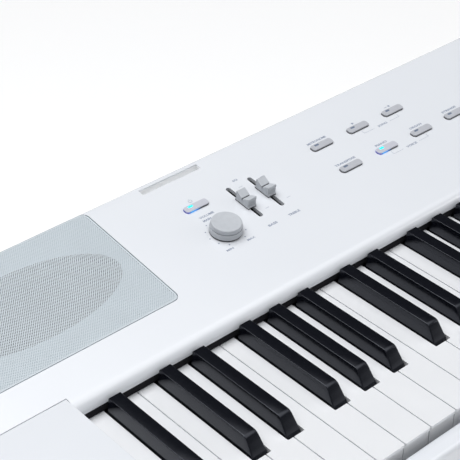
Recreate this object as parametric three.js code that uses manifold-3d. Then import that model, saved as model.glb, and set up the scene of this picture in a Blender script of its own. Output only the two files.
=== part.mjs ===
// An 88-key digital piano on a furniture stand.
// Millimetres, +X towards the treble end, +Y towards the back, +Z up; the origin is on the
// floor, under the middle of the stand.

import * as THREE from 'three';
import { mergeVertices } from 'three/addons/utils/BufferGeometryUtils.js';
import Module from 'manifold-3d';

const wasm = await Module();
wasm.setup();

// ---------------------------------------------------------------- driving dimensions

const GAP = 0.3;                  // clearance between pieces that lie against each other
const WALL = 3;                   // moulded case wall
const OVER = 1;                   // how far a cutter runs past the face that it cuts
const FIT = 0.35;                 // clearance round a piece that drops into an opening

// Heights above the floor.
const KEY_TOP = 735;              // top of the white keys
const SEAM_Z = KEY_TOP - 62;      // joint between the upper case and the tray
const CASE_BOTTOM = KEY_TOP - 96;
const CUT_LOW = SEAM_Z - 10;      // cutters of the upper case start here, below the seam,
const CUT_HIGH = KEY_TOP + 60;    // and end here, above the piano

// Plan of the piano body.
const BODY_HALF = 680;            // half its width
const BODY_FRONT = -159;
const BODY_BACK = 158;
const BODY_CORNER = 12;
const PANEL_EDGE_Y = 6;           // front of the control panel, where the keys disappear
const TRAY_CHAMFER = { front: 14, back: 11 };

// The sloping control panel and its rounded front edge.
const PANEL_TILT = THREE.MathUtils.degToRad(7.5);
const NOSE_R = 10;
const NOSE_Z = KEY_TOP + 4.6;     // height of the rounded front's centre line
const MOUTH_TOP = KEY_TOP + 6.4;  // lower edge of the rounded front, over the keys
const PANEL_ORIGIN = [0, PANEL_EDGE_Y + NOSE_R, KEY_TOP + 14.7];
const BACK_EDGE_R = 3;
const PANEL_END_Y = PANEL_EDGE_Y + NOSE_R + 2;  // beside the keys the panel stops here

// The cheeks at both ends of the keys, and the rail in front of them.
const CHEEK = { gap: 0.4, cornerR: 10, drop: 1.5 };
const SLIP = { skin: 2.6, top: KEY_TOP - 9, cornerR: 4, lip: 24, keyGap: 3 };

// Keyboard.
const WHITE_COUNT = 52;
const PITCH = 23.5;               // white key spacing
const KEY_GAP = 0.9;              // between neighbouring white keys
const KEYS_HALF = WHITE_COUNT * PITCH / 2;
const KEY_FRONT = PANEL_EDGE_Y - 148;
const KEY_HEIGHT = 20;
const KEY_SKIN = 1.8;
const KEY_CEILING = 2.2;          // thickness of a white key's top
const NOSING = 1.4;               // overhang of a white key's top at the front
const NOSING_HEIGHT = 2.6;
const PIVOT_Y = PANEL_EDGE_Y + 45;
const TAIL_END = PIVOT_Y + 6;
const SLOT_WIDTH = 14.3;          // room that two white keys leave for a black one
const SLOT_FRONT = PANEL_EDGE_Y - 97.2;
const BLACK_BASE = 12.3;          // width at the white keys' level
const BLACK_TOP = 9;
const BLACK_RISE = 11.35;         // height above the white keys
const BLACK_FRONT = PANEL_EDGE_Y - 95.7;
const BLACK_BACK = PANEL_EDGE_Y - 3.4;
const BLACK_LOW = KEY_TOP - 16;
const BLACK_TAIL = { half: 4.6, low: KEY_TOP - 10.5, top: KEY_TOP - 2 };
const MOVING_KEYS = 25;           // A0 to A2 are separate keys, the rest are two fixed combs
const KEY_COUNT = 88;
const FELT = { setBack: 0.6, thickness: 2, lift: 0.7 };

// Steel frame under the keys.
const BED = { sheet: 4, front: KEY_FRONT + 8, back: TAIL_END + 5, deck: KEY_TOP - 56 };
const STOP_RAIL = { start: 6, end: 14, top: KEY_TOP - 36 };

// Loudspeaker openings, in panel coordinates: x, and s up the slope.
const SPEAKER_X = 583;
const GRILLE_S = 85.9;
const GRILLE_WIDTH = 178.4;
const GRILLE_LENGTH = 111.4;
const GRILLE_CORNER = 6;
const GRILLE_LIP = 4;
const GRILLE_RECESS = 1.6;
const SEAT_RECESS = 3.2;
const SEAT_DEPTH = 6.2;
const OVAL_A = 77;
const OVAL_B = 34.5;
const DRIVER = { flange: 3, basketDepth: 24, magnetR: 27, magnetDepth: 20, coneDepth: 14 };

// Controls, in panel coordinates.
const KNOB = { x: -423.7, s: 65.2, r: 12.5, height: 9.3, shaftR: 3.2, shaftDepth: 9 };
const FADERS = {
  x: [-390.7, -369.3], rest: [-1.3, 0.5], s: 82.1, width: 8, length: 15.5, slot: 40, slotWidth: 4,
};
const BUTTON = { width: 21.3, length: 6.3, rise: 1.7, depth: 7, corner: 2.7, flange: 1, flangeLow: 5.2 };
const BUTTON_PLACES = {
  power_button: [-423.6, 98.8],
  button_upper_1: [-295, 98.7],
  button_upper_2: [-255.2, 98.7],
  button_upper_3: [-215.4, 98.7],
  button_lower_1: [-295, 66],
  button_lower_2: [-255.2, 66],
  button_lower_3: [-215.4, 66],
  button_lower_4: [-175.6, 66],
};

// Circuit board under the controls.
const BOARD = { x: [-452, -150], s: [50, 112], low: -12, thickness: 1.6, postInset: 6, postR: 3 };

// Slots for the music rest's two feet.
const REST_X = 418.9;
const REST_SLOT = { width: 55.6, length: 5.8, depth: 12, y: PANEL_EDGE_Y + 143.8 };

// Connector plate in the rear wall.
const PLATE = { width: 240, height: 30, z: KEY_TOP - 27, thickness: 2.5, setBack: 0.5 };
const SOCKET_BLOCK = { half: 100, height: 18, depth: 12 };
const JACKS = { x: [20, 45, 70], r: 1.85, depth: 11 };
const INLET = { x: -80, r: 3.1, depth: 10, pinR: 1.1 };
const PORT = { x: -35, halfWidth: 4.2, halfHeight: 3.9, depth: 10, tongueWidth: 5.6, tongueHeight: 3.2 };

// Stand.
const SIDE = { x: 643, thickness: 22, front: -120, back: 140 };
const FOOT = { width: 50, height: 32, half: 190, ease: 6 };
const CLEAT = { width: 45, height: 20 };
const BACK_BOARD = { y: 112, thickness: 18, low: 250, high: 560 };
const SCREW = { x: 609, y: 85, r: 3, hole: 3.5, bossR: 9, reach: 12 };
const SCREW_KNOB = { r: 14, height: 15, lobes: 5, lobeDepth: 2.8 };

// ---------------------------------------------------------------- solids from three.js shapes

function solid(geometry) {
  const bare = geometry.index ? geometry.toNonIndexed() : geometry.clone();
  bare.deleteAttribute('normal');
  bare.deleteAttribute('uv');
  const merged = mergeVertices(bare, 1e-4);
  return new wasm.Manifold(new wasm.Mesh({
    numProp: 3,
    vertProperties: new Float32Array(merged.attributes.position.array),
    triVerts: new Uint32Array(merged.index.array),
  }));
}

function geometryOf(manifold) {
  const result = manifold.getMesh();
  const geometry = new THREE.BufferGeometry();
  geometry.setAttribute('position', new THREE.BufferAttribute(result.vertProperties, result.numProp));
  geometry.setIndex(new THREE.BufferAttribute(result.triVerts, 1));
  geometry.computeVertexNormals();
  return geometry;
}

function union(solids) {
  return solids.reduce((whole, piece) => whole.add(piece));
}

function box(x0, x1, y0, y1, z0, z1) {
  const geometry = new THREE.BoxGeometry(x1 - x0, y1 - y0, z1 - z0);
  return solid(geometry.translate((x0 + x1) / 2, (y0 + y1) / 2, (z0 + z1) / 2));
}

// A round bar along Z.
function bar(x, y, r, z0, z1, sides = 24) {
  const geometry = new THREE.CylinderGeometry(r, r, z1 - z0, sides);
  return solid(geometry.rotateX(Math.PI / 2).translate(x, y, (z0 + z1) / 2));
}

// A shape drawn in X and Y, from z0 up to z1.
function plan(shape, z0, z1, curveSegments = 3) {
  const settings = { depth: z1 - z0, bevelEnabled: false, curveSegments };
  const geometry = new THREE.ExtrudeGeometry(shape, settings);
  return solid(geometry.translate(0, 0, z0));
}

// A section drawn in Y and Z, run along X from x0 to x1.
function run(shape, x0, x1, curveSegments = 4) {
  const settings = { depth: x1 - x0, bevelEnabled: false, curveSegments };
  const geometry = new THREE.ExtrudeGeometry(shape, settings);
  const turn = new THREE.Matrix4().makeBasis(
    new THREE.Vector3(0, 1, 0), new THREE.Vector3(0, 0, 1), new THREE.Vector3(1, 0, 0));
  return solid(geometry.applyMatrix4(turn).translate(x0, 0, 0));
}

function polygon(points) {
  return new THREE.Shape(points.map(([a, b]) => new THREE.Vector2(a, b)));
}

function roundedRectangle(x, y, width, length, r) {
  const shape = new THREE.Shape();
  const left = x - width / 2;
  const right = x + width / 2;
  const front = y - length / 2;
  const back = y + length / 2;
  shape.absarc(right - r, front + r, r, -Math.PI / 2, 0);
  shape.absarc(right - r, back - r, r, 0, Math.PI / 2);
  shape.absarc(left + r, back - r, r, Math.PI / 2, Math.PI);
  shape.absarc(left + r, front + r, r, Math.PI, Math.PI * 1.5);
  return shape;
}

function ellipse(x, y, a, b) {
  const shape = new THREE.Shape();
  shape.absellipse(x, y, a, b, 0, Math.PI * 2);
  return shape;
}

// A lofted bar: rings of [x, z] points at the given y places, closed at both ends.
function loft(places, ringAt) {
  const rings = places.map(ringAt);
  const count = rings[0].length;
  const positions = [];
  rings.forEach((ring, i) => ring.forEach(([x, z]) => positions.push(x, places[i].y, z)));
  const index = [];
  for (let i = 0; i + 1 < rings.length; i++) {
    for (let k = 0; k < count; k++) {
      const a = i * count + k;
      const b = i * count + (k + 1) % count;
      index.push(a, b + count, b, a, a + count, b + count);
    }
  }
  const last = (rings.length - 1) * count;
  for (let k = 1; k + 1 < count; k++) {
    index.push(0, k, k + 1);
    index.push(last, last + k + 1, last + k);
  }
  const geometry = new THREE.BufferGeometry();
  geometry.setAttribute('position', new THREE.Float32BufferAttribute(positions, 3));
  geometry.setIndex(index);
  return solid(geometry);
}

// ---------------------------------------------------------------- materials

function paint(color, roughness, metalness = 0) {
  return () => new THREE.MeshStandardMaterial({ color, roughness, metalness });
}

const whiteCase = paint(0xedf0f5, 0.25);
const whiteKey = paint(0xeef0f3, 0.2);
const blackKey = paint(0x191a1e, 0.3);
const greyControl = paint(0xc2c7d0, 0.45);
const grilleMetal = paint(0xc8d1d9, 0.5);
const darkPlastic = paint(0x26272b, 0.6);
const speakerPlastic = paint(0x3a3c40, 0.7);
const blackFelt = paint(0x101114, 0.95);
const chassisSteel = paint(0x9aa0a6, 0.4, 0.8);
const boardGreen = paint(0x1f5a3a, 0.6);
const standBoard = paint(0xe9ebee, 0.45);

const piano = new THREE.Group();

// Everything set on the sloping panel goes in here: x along it, y up the slope, z out of it.
const panel = new THREE.Group();
panel.position.set(...PANEL_ORIGIN);
panel.rotation.x = PANEL_TILT;
piano.add(panel);

const panelMatrix = new THREE.Matrix4()
  .makeRotationX(PANEL_TILT)
  .setPosition(...PANEL_ORIGIN);

function ontoPanel(manifold) {
  return solid(geometryOf(manifold).applyMatrix4(panelMatrix));
}

function place(name, manifold, material, group = piano) {
  const mesh = new THREE.Mesh(geometryOf(manifold), material());
  mesh.name = name;
  group.add(mesh);
}

// ---------------------------------------------------------------- the case

// The body's outline from above, drawn in by inset.
function bodyPlan(inset, z0, z1) {
  const shape = roundedRectangle(
    0, (BODY_FRONT + BODY_BACK) / 2, 2 * (BODY_HALF - inset), BODY_BACK - BODY_FRONT - 2 * inset,
    BODY_CORNER - inset);
  return plan(shape, z0, z1);
}

// Height of the panel's surface, drawn in by inset, at a given y.
function panelHeight(y, inset = 0) {
  const [, y0, z0] = PANEL_ORIGIN;
  return z0 + (y - y0) * Math.tan(PANEL_TILT) - inset / Math.cos(PANEL_TILT);
}

// Side view of the upper case, drawn in by inset: rounded front, slope, back wall.
function upperSection(inset) {
  const shape = new THREE.Shape();
  const back = BODY_BACK - inset;
  const r = BACK_EDGE_R - inset > 0.5 ? BACK_EDGE_R - inset : 0.5;
  const top = panelHeight(back - r, inset);
  const centre = PANEL_EDGE_Y + NOSE_R;
  shape.moveTo(back, SEAM_Z - inset);
  shape.lineTo(back, top - r);
  shape.absarc(back - r, top - r, r, 0, Math.PI / 2 + PANEL_TILT);
  shape.absarc(centre, NOSE_Z, NOSE_R - inset, Math.PI / 2 + PANEL_TILT, Math.PI);
  shape.lineTo(PANEL_EDGE_Y + inset, SEAM_Z - inset);
  return shape;
}

function topPanel() {
  const outer = run(upperSection(0), -BODY_HALF, BODY_HALF).intersect(bodyPlan(0, CUT_LOW, CUT_HIGH));
  const inner = run(upperSection(WALL), -BODY_HALF + WALL, BODY_HALF - WALL)
    .intersect(bodyPlan(WALL, CUT_LOW - OVER, CUT_HIGH));
  // Open in front, under the rounded edge, so that the keys run in beneath it.
  const end = BODY_HALF + OVER;
  const mouth = box(-end, end, BODY_FRONT, PANEL_EDGE_Y + WALL + OVER, CUT_LOW, MOUTH_TOP);
  let shell = outer.subtract(inner).subtract(mouth);
  for (const side of [-1, 1]) {
    const x = [side * KEYS_HALF, side * end].sort((a, b) => a - b);
    shell = shell.subtract(box(...x, BODY_FRONT, PANEL_END_Y, CUT_LOW, CUT_HIGH));
    shell = shell.add(ontoPanel(speakerSeat(side)));
    shell = shell.add(restPocket(side));
    shell = shell.subtract(ontoPanel(speakerOpening(side)));
    shell = shell.subtract(restOpening(side));
  }
  shell = shell.subtract(ontoPanel(controlOpenings())).subtract(plateOpening());
  place('top_panel', shell, whiteCase);
}

// Moulded seat under each grille, which the loudspeaker hangs from.
function speakerSeat(side) {
  const x = side * SPEAKER_X;
  const outline = roundedRectangle(x, GRILLE_S - 2, GRILLE_WIDTH + 2 * WALL, GRILLE_LENGTH, GRILLE_CORNER);
  return plan(outline, -SEAT_DEPTH, -WALL / 2);
}

// From the top down: the grille's recess, the space under its sheet and the oval hole.
function speakerOpening(side) {
  const x = side * SPEAKER_X;
  const width = GRILLE_WIDTH - 2 * GRILLE_LIP;
  const length = GRILLE_LENGTH - 2 * GRILLE_LIP;
  const recess = roundedRectangle(x, GRILLE_S, GRILLE_WIDTH, GRILLE_LENGTH, GRILLE_CORNER);
  const well = roundedRectangle(x, GRILLE_S, width, length, GRILLE_CORNER - 2);
  const oval = ellipse(x, GRILLE_S, OVAL_A, OVAL_B);
  return union([
    plan(recess, -GRILLE_RECESS, OVER),
    plan(well, -SEAT_RECESS, OVER),
    plan(oval, -SEAT_DEPTH - OVER, OVER, 16),
  ]);
}

function restPocket(side) {
  const { width, length, depth, y } = REST_SLOT;
  const x = side * REST_X;
  const halfWidth = width / 2 + WALL;
  const halfLength = length / 2 + WALL;
  const top = panelHeight(y);
  return box(x - halfWidth, x + halfWidth, y - halfLength, y + halfLength, top - depth - WALL, top - WALL);
}

function restOpening(side) {
  const { width, length, depth, y } = REST_SLOT;
  const x = side * REST_X;
  const top = panelHeight(y);
  return box(x - width / 2, x + width / 2, y - length / 2, y + length / 2, top - depth, top + WALL);
}

function controlOpenings() {
  const low = -WALL - OVER;
  const holes = [bar(KNOB.x, KNOB.s, KNOB.shaftR + 0.5, low, OVER)];
  const endR = FADERS.slotWidth / 2 - 0.01;
  for (const x of FADERS.x) {
    const slot = roundedRectangle(x, FADERS.s, FADERS.slotWidth, FADERS.slot, endR);
    holes.push(plan(slot, low, OVER, 2));
  }
  for (const [x, s] of Object.values(BUTTON_PLACES)) {
    holes.push(plan(buttonOutline(x, s, FIT), low, OVER, 2));
  }
  return union(holes);
}

function plateOpening() {
  const { width, height, z } = PLATE;
  const low = z - height / 2;
  return box(-width / 2, width / 2, BODY_BACK - 2 * WALL, BODY_BACK + OVER, low, low + height);
}

// Side view of the tray, drawn in by inset, with its lower edges chamfered.
function traySection(inset, top) {
  const front = BODY_FRONT + inset;
  const back = BODY_BACK - inset;
  const low = CASE_BOTTOM + inset;
  // Keeps the wall as thick across a chamfer: tan(45 / 2) of the inset.
  const ease = inset * Math.tan(Math.PI / 8);
  const frontCut = TRAY_CHAMFER.front + ease;
  const backCut = TRAY_CHAMFER.back + ease;
  return polygon([
    [front, top], [front, CASE_BOTTOM + frontCut], [BODY_FRONT + frontCut, low],
    [BODY_BACK - backCut, low], [back, CASE_BOTTOM + backCut], [back, top],
  ]);
}

function bottomCase() {
  const top = SEAM_Z - GAP;
  const outer = run(traySection(0, top), -BODY_HALF, BODY_HALF).intersect(bodyPlan(0, CASE_BOTTOM, top));
  const inner = run(traySection(WALL, top + OVER), -BODY_HALF + WALL, BODY_HALF - WALL)
    .intersect(bodyPlan(WALL, CASE_BOTTOM, top + OVER));
  let tray = outer.subtract(inner);
  const holeTop = CASE_BOTTOM + SCREW.reach + WALL;
  for (const [x, y] of screwPlaces()) {
    tray = tray.add(bar(x, y, SCREW.bossR, CASE_BOTTOM + WALL / 2, holeTop + WALL, 16));
    tray = tray.subtract(bar(x, y, SCREW.hole, CASE_BOTTOM - OVER, holeTop, 16));
  }
  place('bottom_case', tray, whiteCase);
}

// The solid-looking cheeks at both ends of the keyboard, moulded hollow and open below.
function endBlock(name, side) {
  const [x0, x1] = [side * (KEYS_HALF + CHEEK.gap), side * BODY_HALF].sort((a, b) => a - b);
  const outer = run(cheekSection(0), x0, x1).intersect(bodyPlan(0, CUT_LOW, CUT_HIGH));
  const hollow = run(cheekSection(WALL), x0 + WALL, x1 - WALL).intersect(bodyPlan(WALL, CUT_LOW, CUT_HIGH));
  place(name, outer.subtract(hollow), whiteCase);
}

// Side view of a cheek, drawn in by inset: as high as the panel behind it, rounded in front.
function cheekSection(inset) {
  const front = BODY_FRONT + inset;
  const back = PANEL_END_Y - CHEEK.gap;
  const r = CHEEK.cornerR - inset;
  const top = panelHeight(back, inset);
  const shape = new THREE.Shape();
  shape.moveTo(front, SEAM_Z - inset);
  shape.lineTo(back - inset, SEAM_Z - inset);
  shape.lineTo(back - inset, top);
  shape.absarc(front + r, top - CHEEK.drop - r, r, Math.PI / 2, Math.PI);
  return shape;
}

// The rail along the front of the keys: a folded section with a rounded top edge.
function keySlip() {
  const { skin, top, cornerR: r, lip } = SLIP;
  const front = BODY_FRONT;
  const back = KEY_FRONT - SLIP.keyGap;
  const shape = new THREE.Shape();
  shape.moveTo(front, SEAM_Z);
  shape.lineTo(front + skin, SEAM_Z);
  shape.lineTo(front + skin, top - r);
  shape.lineTo(front + r, top - skin);
  shape.lineTo(back - skin, top - skin);
  shape.lineTo(back - skin, top - lip);
  shape.lineTo(back, top - lip);
  shape.lineTo(back, top);
  shape.absarc(front + r, top - r, r, Math.PI / 2, Math.PI);
  place('key_slip', run(shape, -KEYS_HALF, KEYS_HALF), whiteCase);
}

// Steel key frame: a table on two folded legs, a stop rail in front and the pivot rail behind.
function keyBed() {
  const { sheet, front, back, deck } = BED;
  const floor = CASE_BOTTOM + WALL + GAP;
  const pivotFront = PIVOT_Y - 7;
  const pivotTop = KEY_TOP - KEY_HEIGHT - 1;
  const stopFront = front + STOP_RAIL.start;
  const stopBack = front + STOP_RAIL.end;
  const section = polygon([
    [front, floor], [front + sheet, floor], [front + sheet, deck - sheet],
    [back - sheet, deck - sheet], [back - sheet, floor], [back, floor],
    [back, pivotTop], [pivotFront, pivotTop], [pivotFront, deck],
    [stopBack, deck], [stopBack, STOP_RAIL.top], [stopFront, STOP_RAIL.top], [stopFront, deck],
    [front, deck],
  ]);
  place('key_bed', run(section, -KEYS_HALF + 2, KEYS_HALF - 2), chassisSteel);
}

// Black felt that closes the gap between the keys and the panel's rounded edge.
function feltStrip() {
  const y = PANEL_EDGE_Y + FELT.setBack;
  const strip = box(-KEYS_HALF, KEYS_HALF, y, y + FELT.thickness, KEY_TOP + FELT.lift, MOUTH_TOP - GAP);
  place('felt_strip', strip, blackFelt);
}

// ---------------------------------------------------------------- loudspeakers

function grille(name, side) {
  const width = GRILLE_WIDTH - 2 * FIT;
  const length = GRILLE_LENGTH - 2 * FIT;
  const outline = roundedRectangle(side * SPEAKER_X, GRILLE_S, width, length, GRILLE_CORNER - FIT);
  const sheetTop = -0.1;
  place(name, plan(outline, -GRILLE_RECESS + GAP, sheetTop), grilleMetal, panel);
}

// An oval driver: flange, tapering basket and round magnet, below the seat.
function speaker(name, side) {
  const x = side * SPEAKER_X;
  const top = -SEAT_DEPTH - GAP;
  const { basketDepth, magnetR, magnetDepth, coneDepth } = DRIVER;
  const flange = plan(ellipse(x, GRILLE_S, OVAL_A + 8, OVAL_B + 7), top - DRIVER.flange, top, 12);
  const basket = new THREE.CylinderGeometry(1, 0.42, basketDepth, 24)
    .rotateX(Math.PI / 2)
    .scale(OVAL_A - 5, OVAL_B - 4, 1)
    .translate(x, GRILLE_S, top - 1 - basketDepth / 2);
  const magnetTop = top - basketDepth;
  const magnet = bar(x, GRILLE_S, magnetR, magnetTop - magnetDepth, magnetTop, 20);
  const cone = new THREE.CylinderGeometry(1, 0.3, coneDepth, 24)
    .rotateX(Math.PI / 2)
    .scale(OVAL_A - 9, OVAL_B - 8, 1)
    .translate(x, GRILLE_S, top + OVER - coneDepth / 2);
  const driver = union([flange, solid(basket), magnet]).subtract(solid(cone));
  place(name, driver, speakerPlastic, panel);
}

// ---------------------------------------------------------------- controls

function volumeKnob() {
  const { x, s, r, height, shaftR, shaftDepth } = KNOB;
  const base = FIT;
  const edge = 0.8;
  const profile = [
    [0, -shaftDepth], [shaftR, -shaftDepth], [shaftR, base], [r, base],
    [r, base + 1.1], [r - 0.4, base + 1.3],
    [r - 0.9, height - edge], [r - 1.1, height - 0.25], [r - 1.6, height], [0, height],
  ];
  const points = profile.map(([radius, z]) => new THREE.Vector2(radius, z));
  const geometry = new THREE.LatheGeometry(points, 32).rotateX(Math.PI / 2).translate(x, s, 0);
  place('volume_knob', solid(geometry), greyControl, panel);
}

// A fader cap: two finger humps with a groove between, on a thin foot and a blade through the slot.
function fader(name, x, offset) {
  const { width, length } = FADERS;
  const s = FADERS.s + offset;
  const half = length / 2;
  const foot = 0.4;                // clear of the panel
  const shoulder = 8.4;
  const hump = 9.2;
  const valley = 6.3;
  const groove = 5.7;
  const shape = new THREE.Shape();
  shape.moveTo(s - half, foot);
  shape.lineTo(s + half, foot);
  shape.lineTo(s + half, foot + 1);
  shape.lineTo(s + half - 0.5, foot + 1.2);
  shape.lineTo(s + half - 1.1, shoulder);
  shape.quadraticCurveTo(s + half - 1.4, hump + 0.2, s + half - 2.6, hump);
  shape.quadraticCurveTo(s + 2.4, valley + 0.1, s + 0.5, valley);
  shape.lineTo(s + 0.5, groove);
  shape.lineTo(s - 0.5, groove);
  shape.lineTo(s - 0.5, valley);
  shape.quadraticCurveTo(s - 2.4, valley + 0.1, s - half + 2.6, hump);
  shape.quadraticCurveTo(s - half + 1.4, hump + 0.2, s - half + 1.1, shoulder);
  shape.lineTo(s - half + 0.5, foot + 1.2);
  shape.lineTo(s - half, foot + 1);
  const cap = run(shape, x - width / 2, x + width / 2, 3);
  const blade = box(x - 1.4, x + 1.4, s - 3.4, s + 3.4, -8, 2);
  place(name, cap.add(blade), greyControl, panel);
}

function buttonOutline(x, s, fit = 0) {
  return roundedRectangle(x, s, BUTTON.width + 2 * fit, BUTTON.length + 2 * fit, BUTTON.corner + fit);
}

// A push button with an eased top edge and a flange that keeps it under the panel.
function button(name, x, s) {
  const { width, length, rise, depth, flange, flangeLow } = BUTTON;
  const ease = 0.45;
  const cap = new THREE.ExtrudeGeometry(buttonOutline(x, s, -ease), {
    depth: rise + depth - 2 * ease,
    bevelThickness: ease,
    bevelSize: ease,
    bevelSegments: 1,
    curveSegments: 2,
  }).translate(0, 0, ease - depth);
  const halfWidth = width / 2 + flange;
  const halfLength = length / 2 + flange;
  const stop = box(x - halfWidth, x + halfWidth, s - halfLength, s + halfLength, -flangeLow, -WALL - 0.4);
  place(name, solid(cap).add(stop), greyControl, panel);
}

// Circuit board under the controls, on four posts that stop just under the panel.
function mainBoard() {
  const { x: [left, right], s: [front, back], low, thickness, postInset, postR } = BOARD;
  const pieces = [box(left, right, front, back, low, low + thickness)];
  for (const x of [left + postInset, right - postInset]) {
    for (const s of [front + postInset, back - postInset + 1]) {
      pieces.push(bar(x, s, postR, low + 1, -WALL - GAP, 8));
    }
  }
  place('main_board', union(pieces), boardGreen, panel);
}

// ---------------------------------------------------------------- rear connector plate

function connectorPlate() {
  const { width, height, z, thickness, setBack } = PLATE;
  const back = BODY_BACK - setBack;
  const inner = back - thickness;
  const halfWidth = width / 2 - FIT;
  const halfHeight = height / 2 - FIT;
  const block = SOCKET_BLOCK;
  const blockLow = z - block.height / 2;
  let plate = box(-halfWidth, halfWidth, inner, back, z - halfHeight, z + halfHeight);
  plate = plate.add(box(
    -block.half, block.half, inner - block.depth, inner + OVER, blockLow, blockLow + block.height));
  for (const x of JACKS.x) {
    plate = plate.subtract(bore(x, z, JACKS.r, back - JACKS.depth, back + OVER));
  }
  plate = plate.subtract(bore(INLET.x, z, INLET.r, back - INLET.depth, back + OVER));
  plate = plate.add(bore(INLET.x, z, INLET.pinR, back - INLET.depth - OVER, back - 2));
  const { x, halfWidth: w, halfHeight: h, depth, tongueWidth, tongueHeight } = PORT;
  plate = plate.subtract(box(x - w, x + w, back - depth, back + OVER, z - h, z + h));
  plate = plate.add(box(
    x - tongueWidth / 2, x + tongueWidth / 2, back - depth - OVER, back - 1.5,
    z - tongueHeight / 2, z + tongueHeight / 2));
  place('rear_connector_panel', plate, darkPlastic);
}

// A round bar along Y.
function bore(x, z, r, y0, y1) {
  const geometry = new THREE.CylinderGeometry(r, r, y1 - y0, 14);
  return solid(geometry.translate(x, (y0 + y1) / 2, z));
}

// ---------------------------------------------------------------- keyboard

// The twelve notes from A, each black one with its shift from the joint between its neighbours.
const NOTES = [
  { name: 'A' }, { name: 'As', shift: 3.5 }, { name: 'B' }, { name: 'C' }, { name: 'Cs', shift: -2.4 },
  { name: 'D' }, { name: 'Ds', shift: 2.4 }, { name: 'E' }, { name: 'F' }, { name: 'Fs', shift: -3.5 },
  { name: 'G' }, { name: 'Gs', shift: 0 },
];
const OCTAVE_START = 3;           // the octave number goes up at C

function isBlack(note) {
  return 'shift' in note;
}

// All the keys from left to right: note, left edge of a white one or middle of a black one.
function layOutKeys() {
  const keys = [];
  let whites = 0;
  for (let i = 0; i < KEY_COUNT; i++) {
    const note = NOTES[i % NOTES.length];
    const octave = Math.floor((i + NOTES.length - OCTAVE_START) / NOTES.length);
    const x = whites * PITCH - KEYS_HALF;
    const name = `key_${note.name}${octave}`;
    if (isBlack(note)) {
      keys.push({ name, black: true, x: x + note.shift });
    } else {
      keys.push({ name, black: false, x });
      whites += 1;
    }
  }
  return keys;
}

function whiteKeySolid(keys, i, hollowed) {
  const { x } = keys[i];
  const left = x + KEY_GAP / 2;
  const right = x + PITCH - KEY_GAP / 2;
  const before = keys[i - 1];
  const after = keys[i + 1];
  const tailLeft = before && before.black ? before.x + SLOT_WIDTH / 2 : left;
  const tailRight = after && after.black ? after.x - SLOT_WIDTH / 2 : right;
  const low = KEY_TOP - KEY_HEIGHT;
  const skin = KEY_SKIN;
  const skirt = KEY_FRONT + NOSING;
  const body = union([
    box(left, right, KEY_FRONT, SLOT_FRONT, low, KEY_TOP),
    box(tailLeft, tailRight, SLOT_FRONT - OVER, TAIL_END, low, KEY_TOP),
  ]);
  const nosingLow = KEY_TOP - NOSING_HEIGHT;
  const underNosing = box(left - OVER, right + OVER, KEY_FRONT - OVER, skirt, low - OVER, nosingLow);
  const filled = body.subtract(underNosing);
  if (!hollowed) {
    return filled;
  }
  const ceiling = KEY_TOP - KEY_CEILING;
  const hollow = union([
    box(left + skin, right - skin, skirt + skin, SLOT_FRONT - skin, low - OVER, ceiling),
    box(tailLeft + skin, tailRight - skin, SLOT_FRONT - 2 * skin, PIVOT_Y - 12, low - OVER, ceiling),
  ]);
  return filled.subtract(hollow);
}

function blackKeySolid(key, tailEnd, hollowed) {
  const wide = BLACK_BASE / 2;
  const chamfer = 0.8;
  // How high the top stands at each place from front to back: a sloped, eased front end.
  const places = [
    { y: BLACK_FRONT, rise: 2 }, { y: BLACK_FRONT + 7.6, rise: 9.9 },
    { y: BLACK_FRONT + 11, rise: BLACK_RISE }, { y: BLACK_BACK, rise: BLACK_RISE },
  ];
  const crown = loft(places, ({ rise }) => {
    const narrow = wide - (wide - BLACK_TOP / 2) * rise / BLACK_RISE;
    const crest = KEY_TOP + rise;
    return [
      [key.x - wide, BLACK_LOW], [key.x + wide, BLACK_LOW], [key.x + wide, KEY_TOP],
      [key.x + narrow, crest - chamfer], [key.x + narrow - chamfer, crest],
      [key.x - narrow + chamfer, crest], [key.x - narrow, crest - chamfer], [key.x - wide, KEY_TOP],
    ];
  });
  const { half, low, top } = BLACK_TAIL;
  const tail = box(key.x - half, key.x + half, BLACK_BACK - OVER, tailEnd, low, top);
  const filled = crown.add(tail);
  if (!hollowed) {
    return filled;
  }
  const inner = wide - KEY_SKIN;
  return filled.subtract(box(
    key.x - inner, key.x + inner, BLACK_FRONT + 3, BLACK_BACK - 2, BLACK_LOW - OVER, KEY_TOP - 1));
}

function movingKeys(keys) {
  keys.slice(0, MOVING_KEYS).forEach((key, i) => {
    const shape = key.black ? blackKeySolid(key, TAIL_END, true) : whiteKeySolid(keys, i, true);
    place(key.name, shape, key.black ? blackKey : whiteKey);
  });
}

// The upper keys, solid inside, each colour held together by a rail behind the pivots.
function keyCombs(keys) {
  const whites = [];
  const blacks = [];
  const blackTail = TAIL_END + 7;
  for (let i = MOVING_KEYS; i < KEY_COUNT; i++) {
    if (keys[i].black) {
      blacks.push(blackKeySolid(keys[i], blackTail, false));
    } else {
      whites.push(whiteKeySolid(keys, i, false));
    }
  }
  const first = keys[MOVING_KEYS].x;
  const whiteLeft = keys[MOVING_KEYS + 1].x + PITCH / 2;
  const lastBlack = keys[KEY_COUNT - 3].x;
  const low = KEY_TOP - KEY_HEIGHT;
  // Both rails stay a little inside the keys that they join.
  const inset = 0.5;
  const whiteRight = KEYS_HALF - PITCH / 2;
  whites.push(box(whiteLeft, whiteRight, TAIL_END - 5, TAIL_END - inset, low + inset, low + 7));
  blacks.push(box(
    first, lastBlack, TAIL_END + 2, blackTail - inset, BLACK_TAIL.low + inset, BLACK_TAIL.top - 1));
  place('white_keys_B2_to_C8', union(whites), whiteKey);
  place('black_keys_As2_to_As7', union(blacks), blackKey);
}

// ---------------------------------------------------------------- stand

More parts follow.
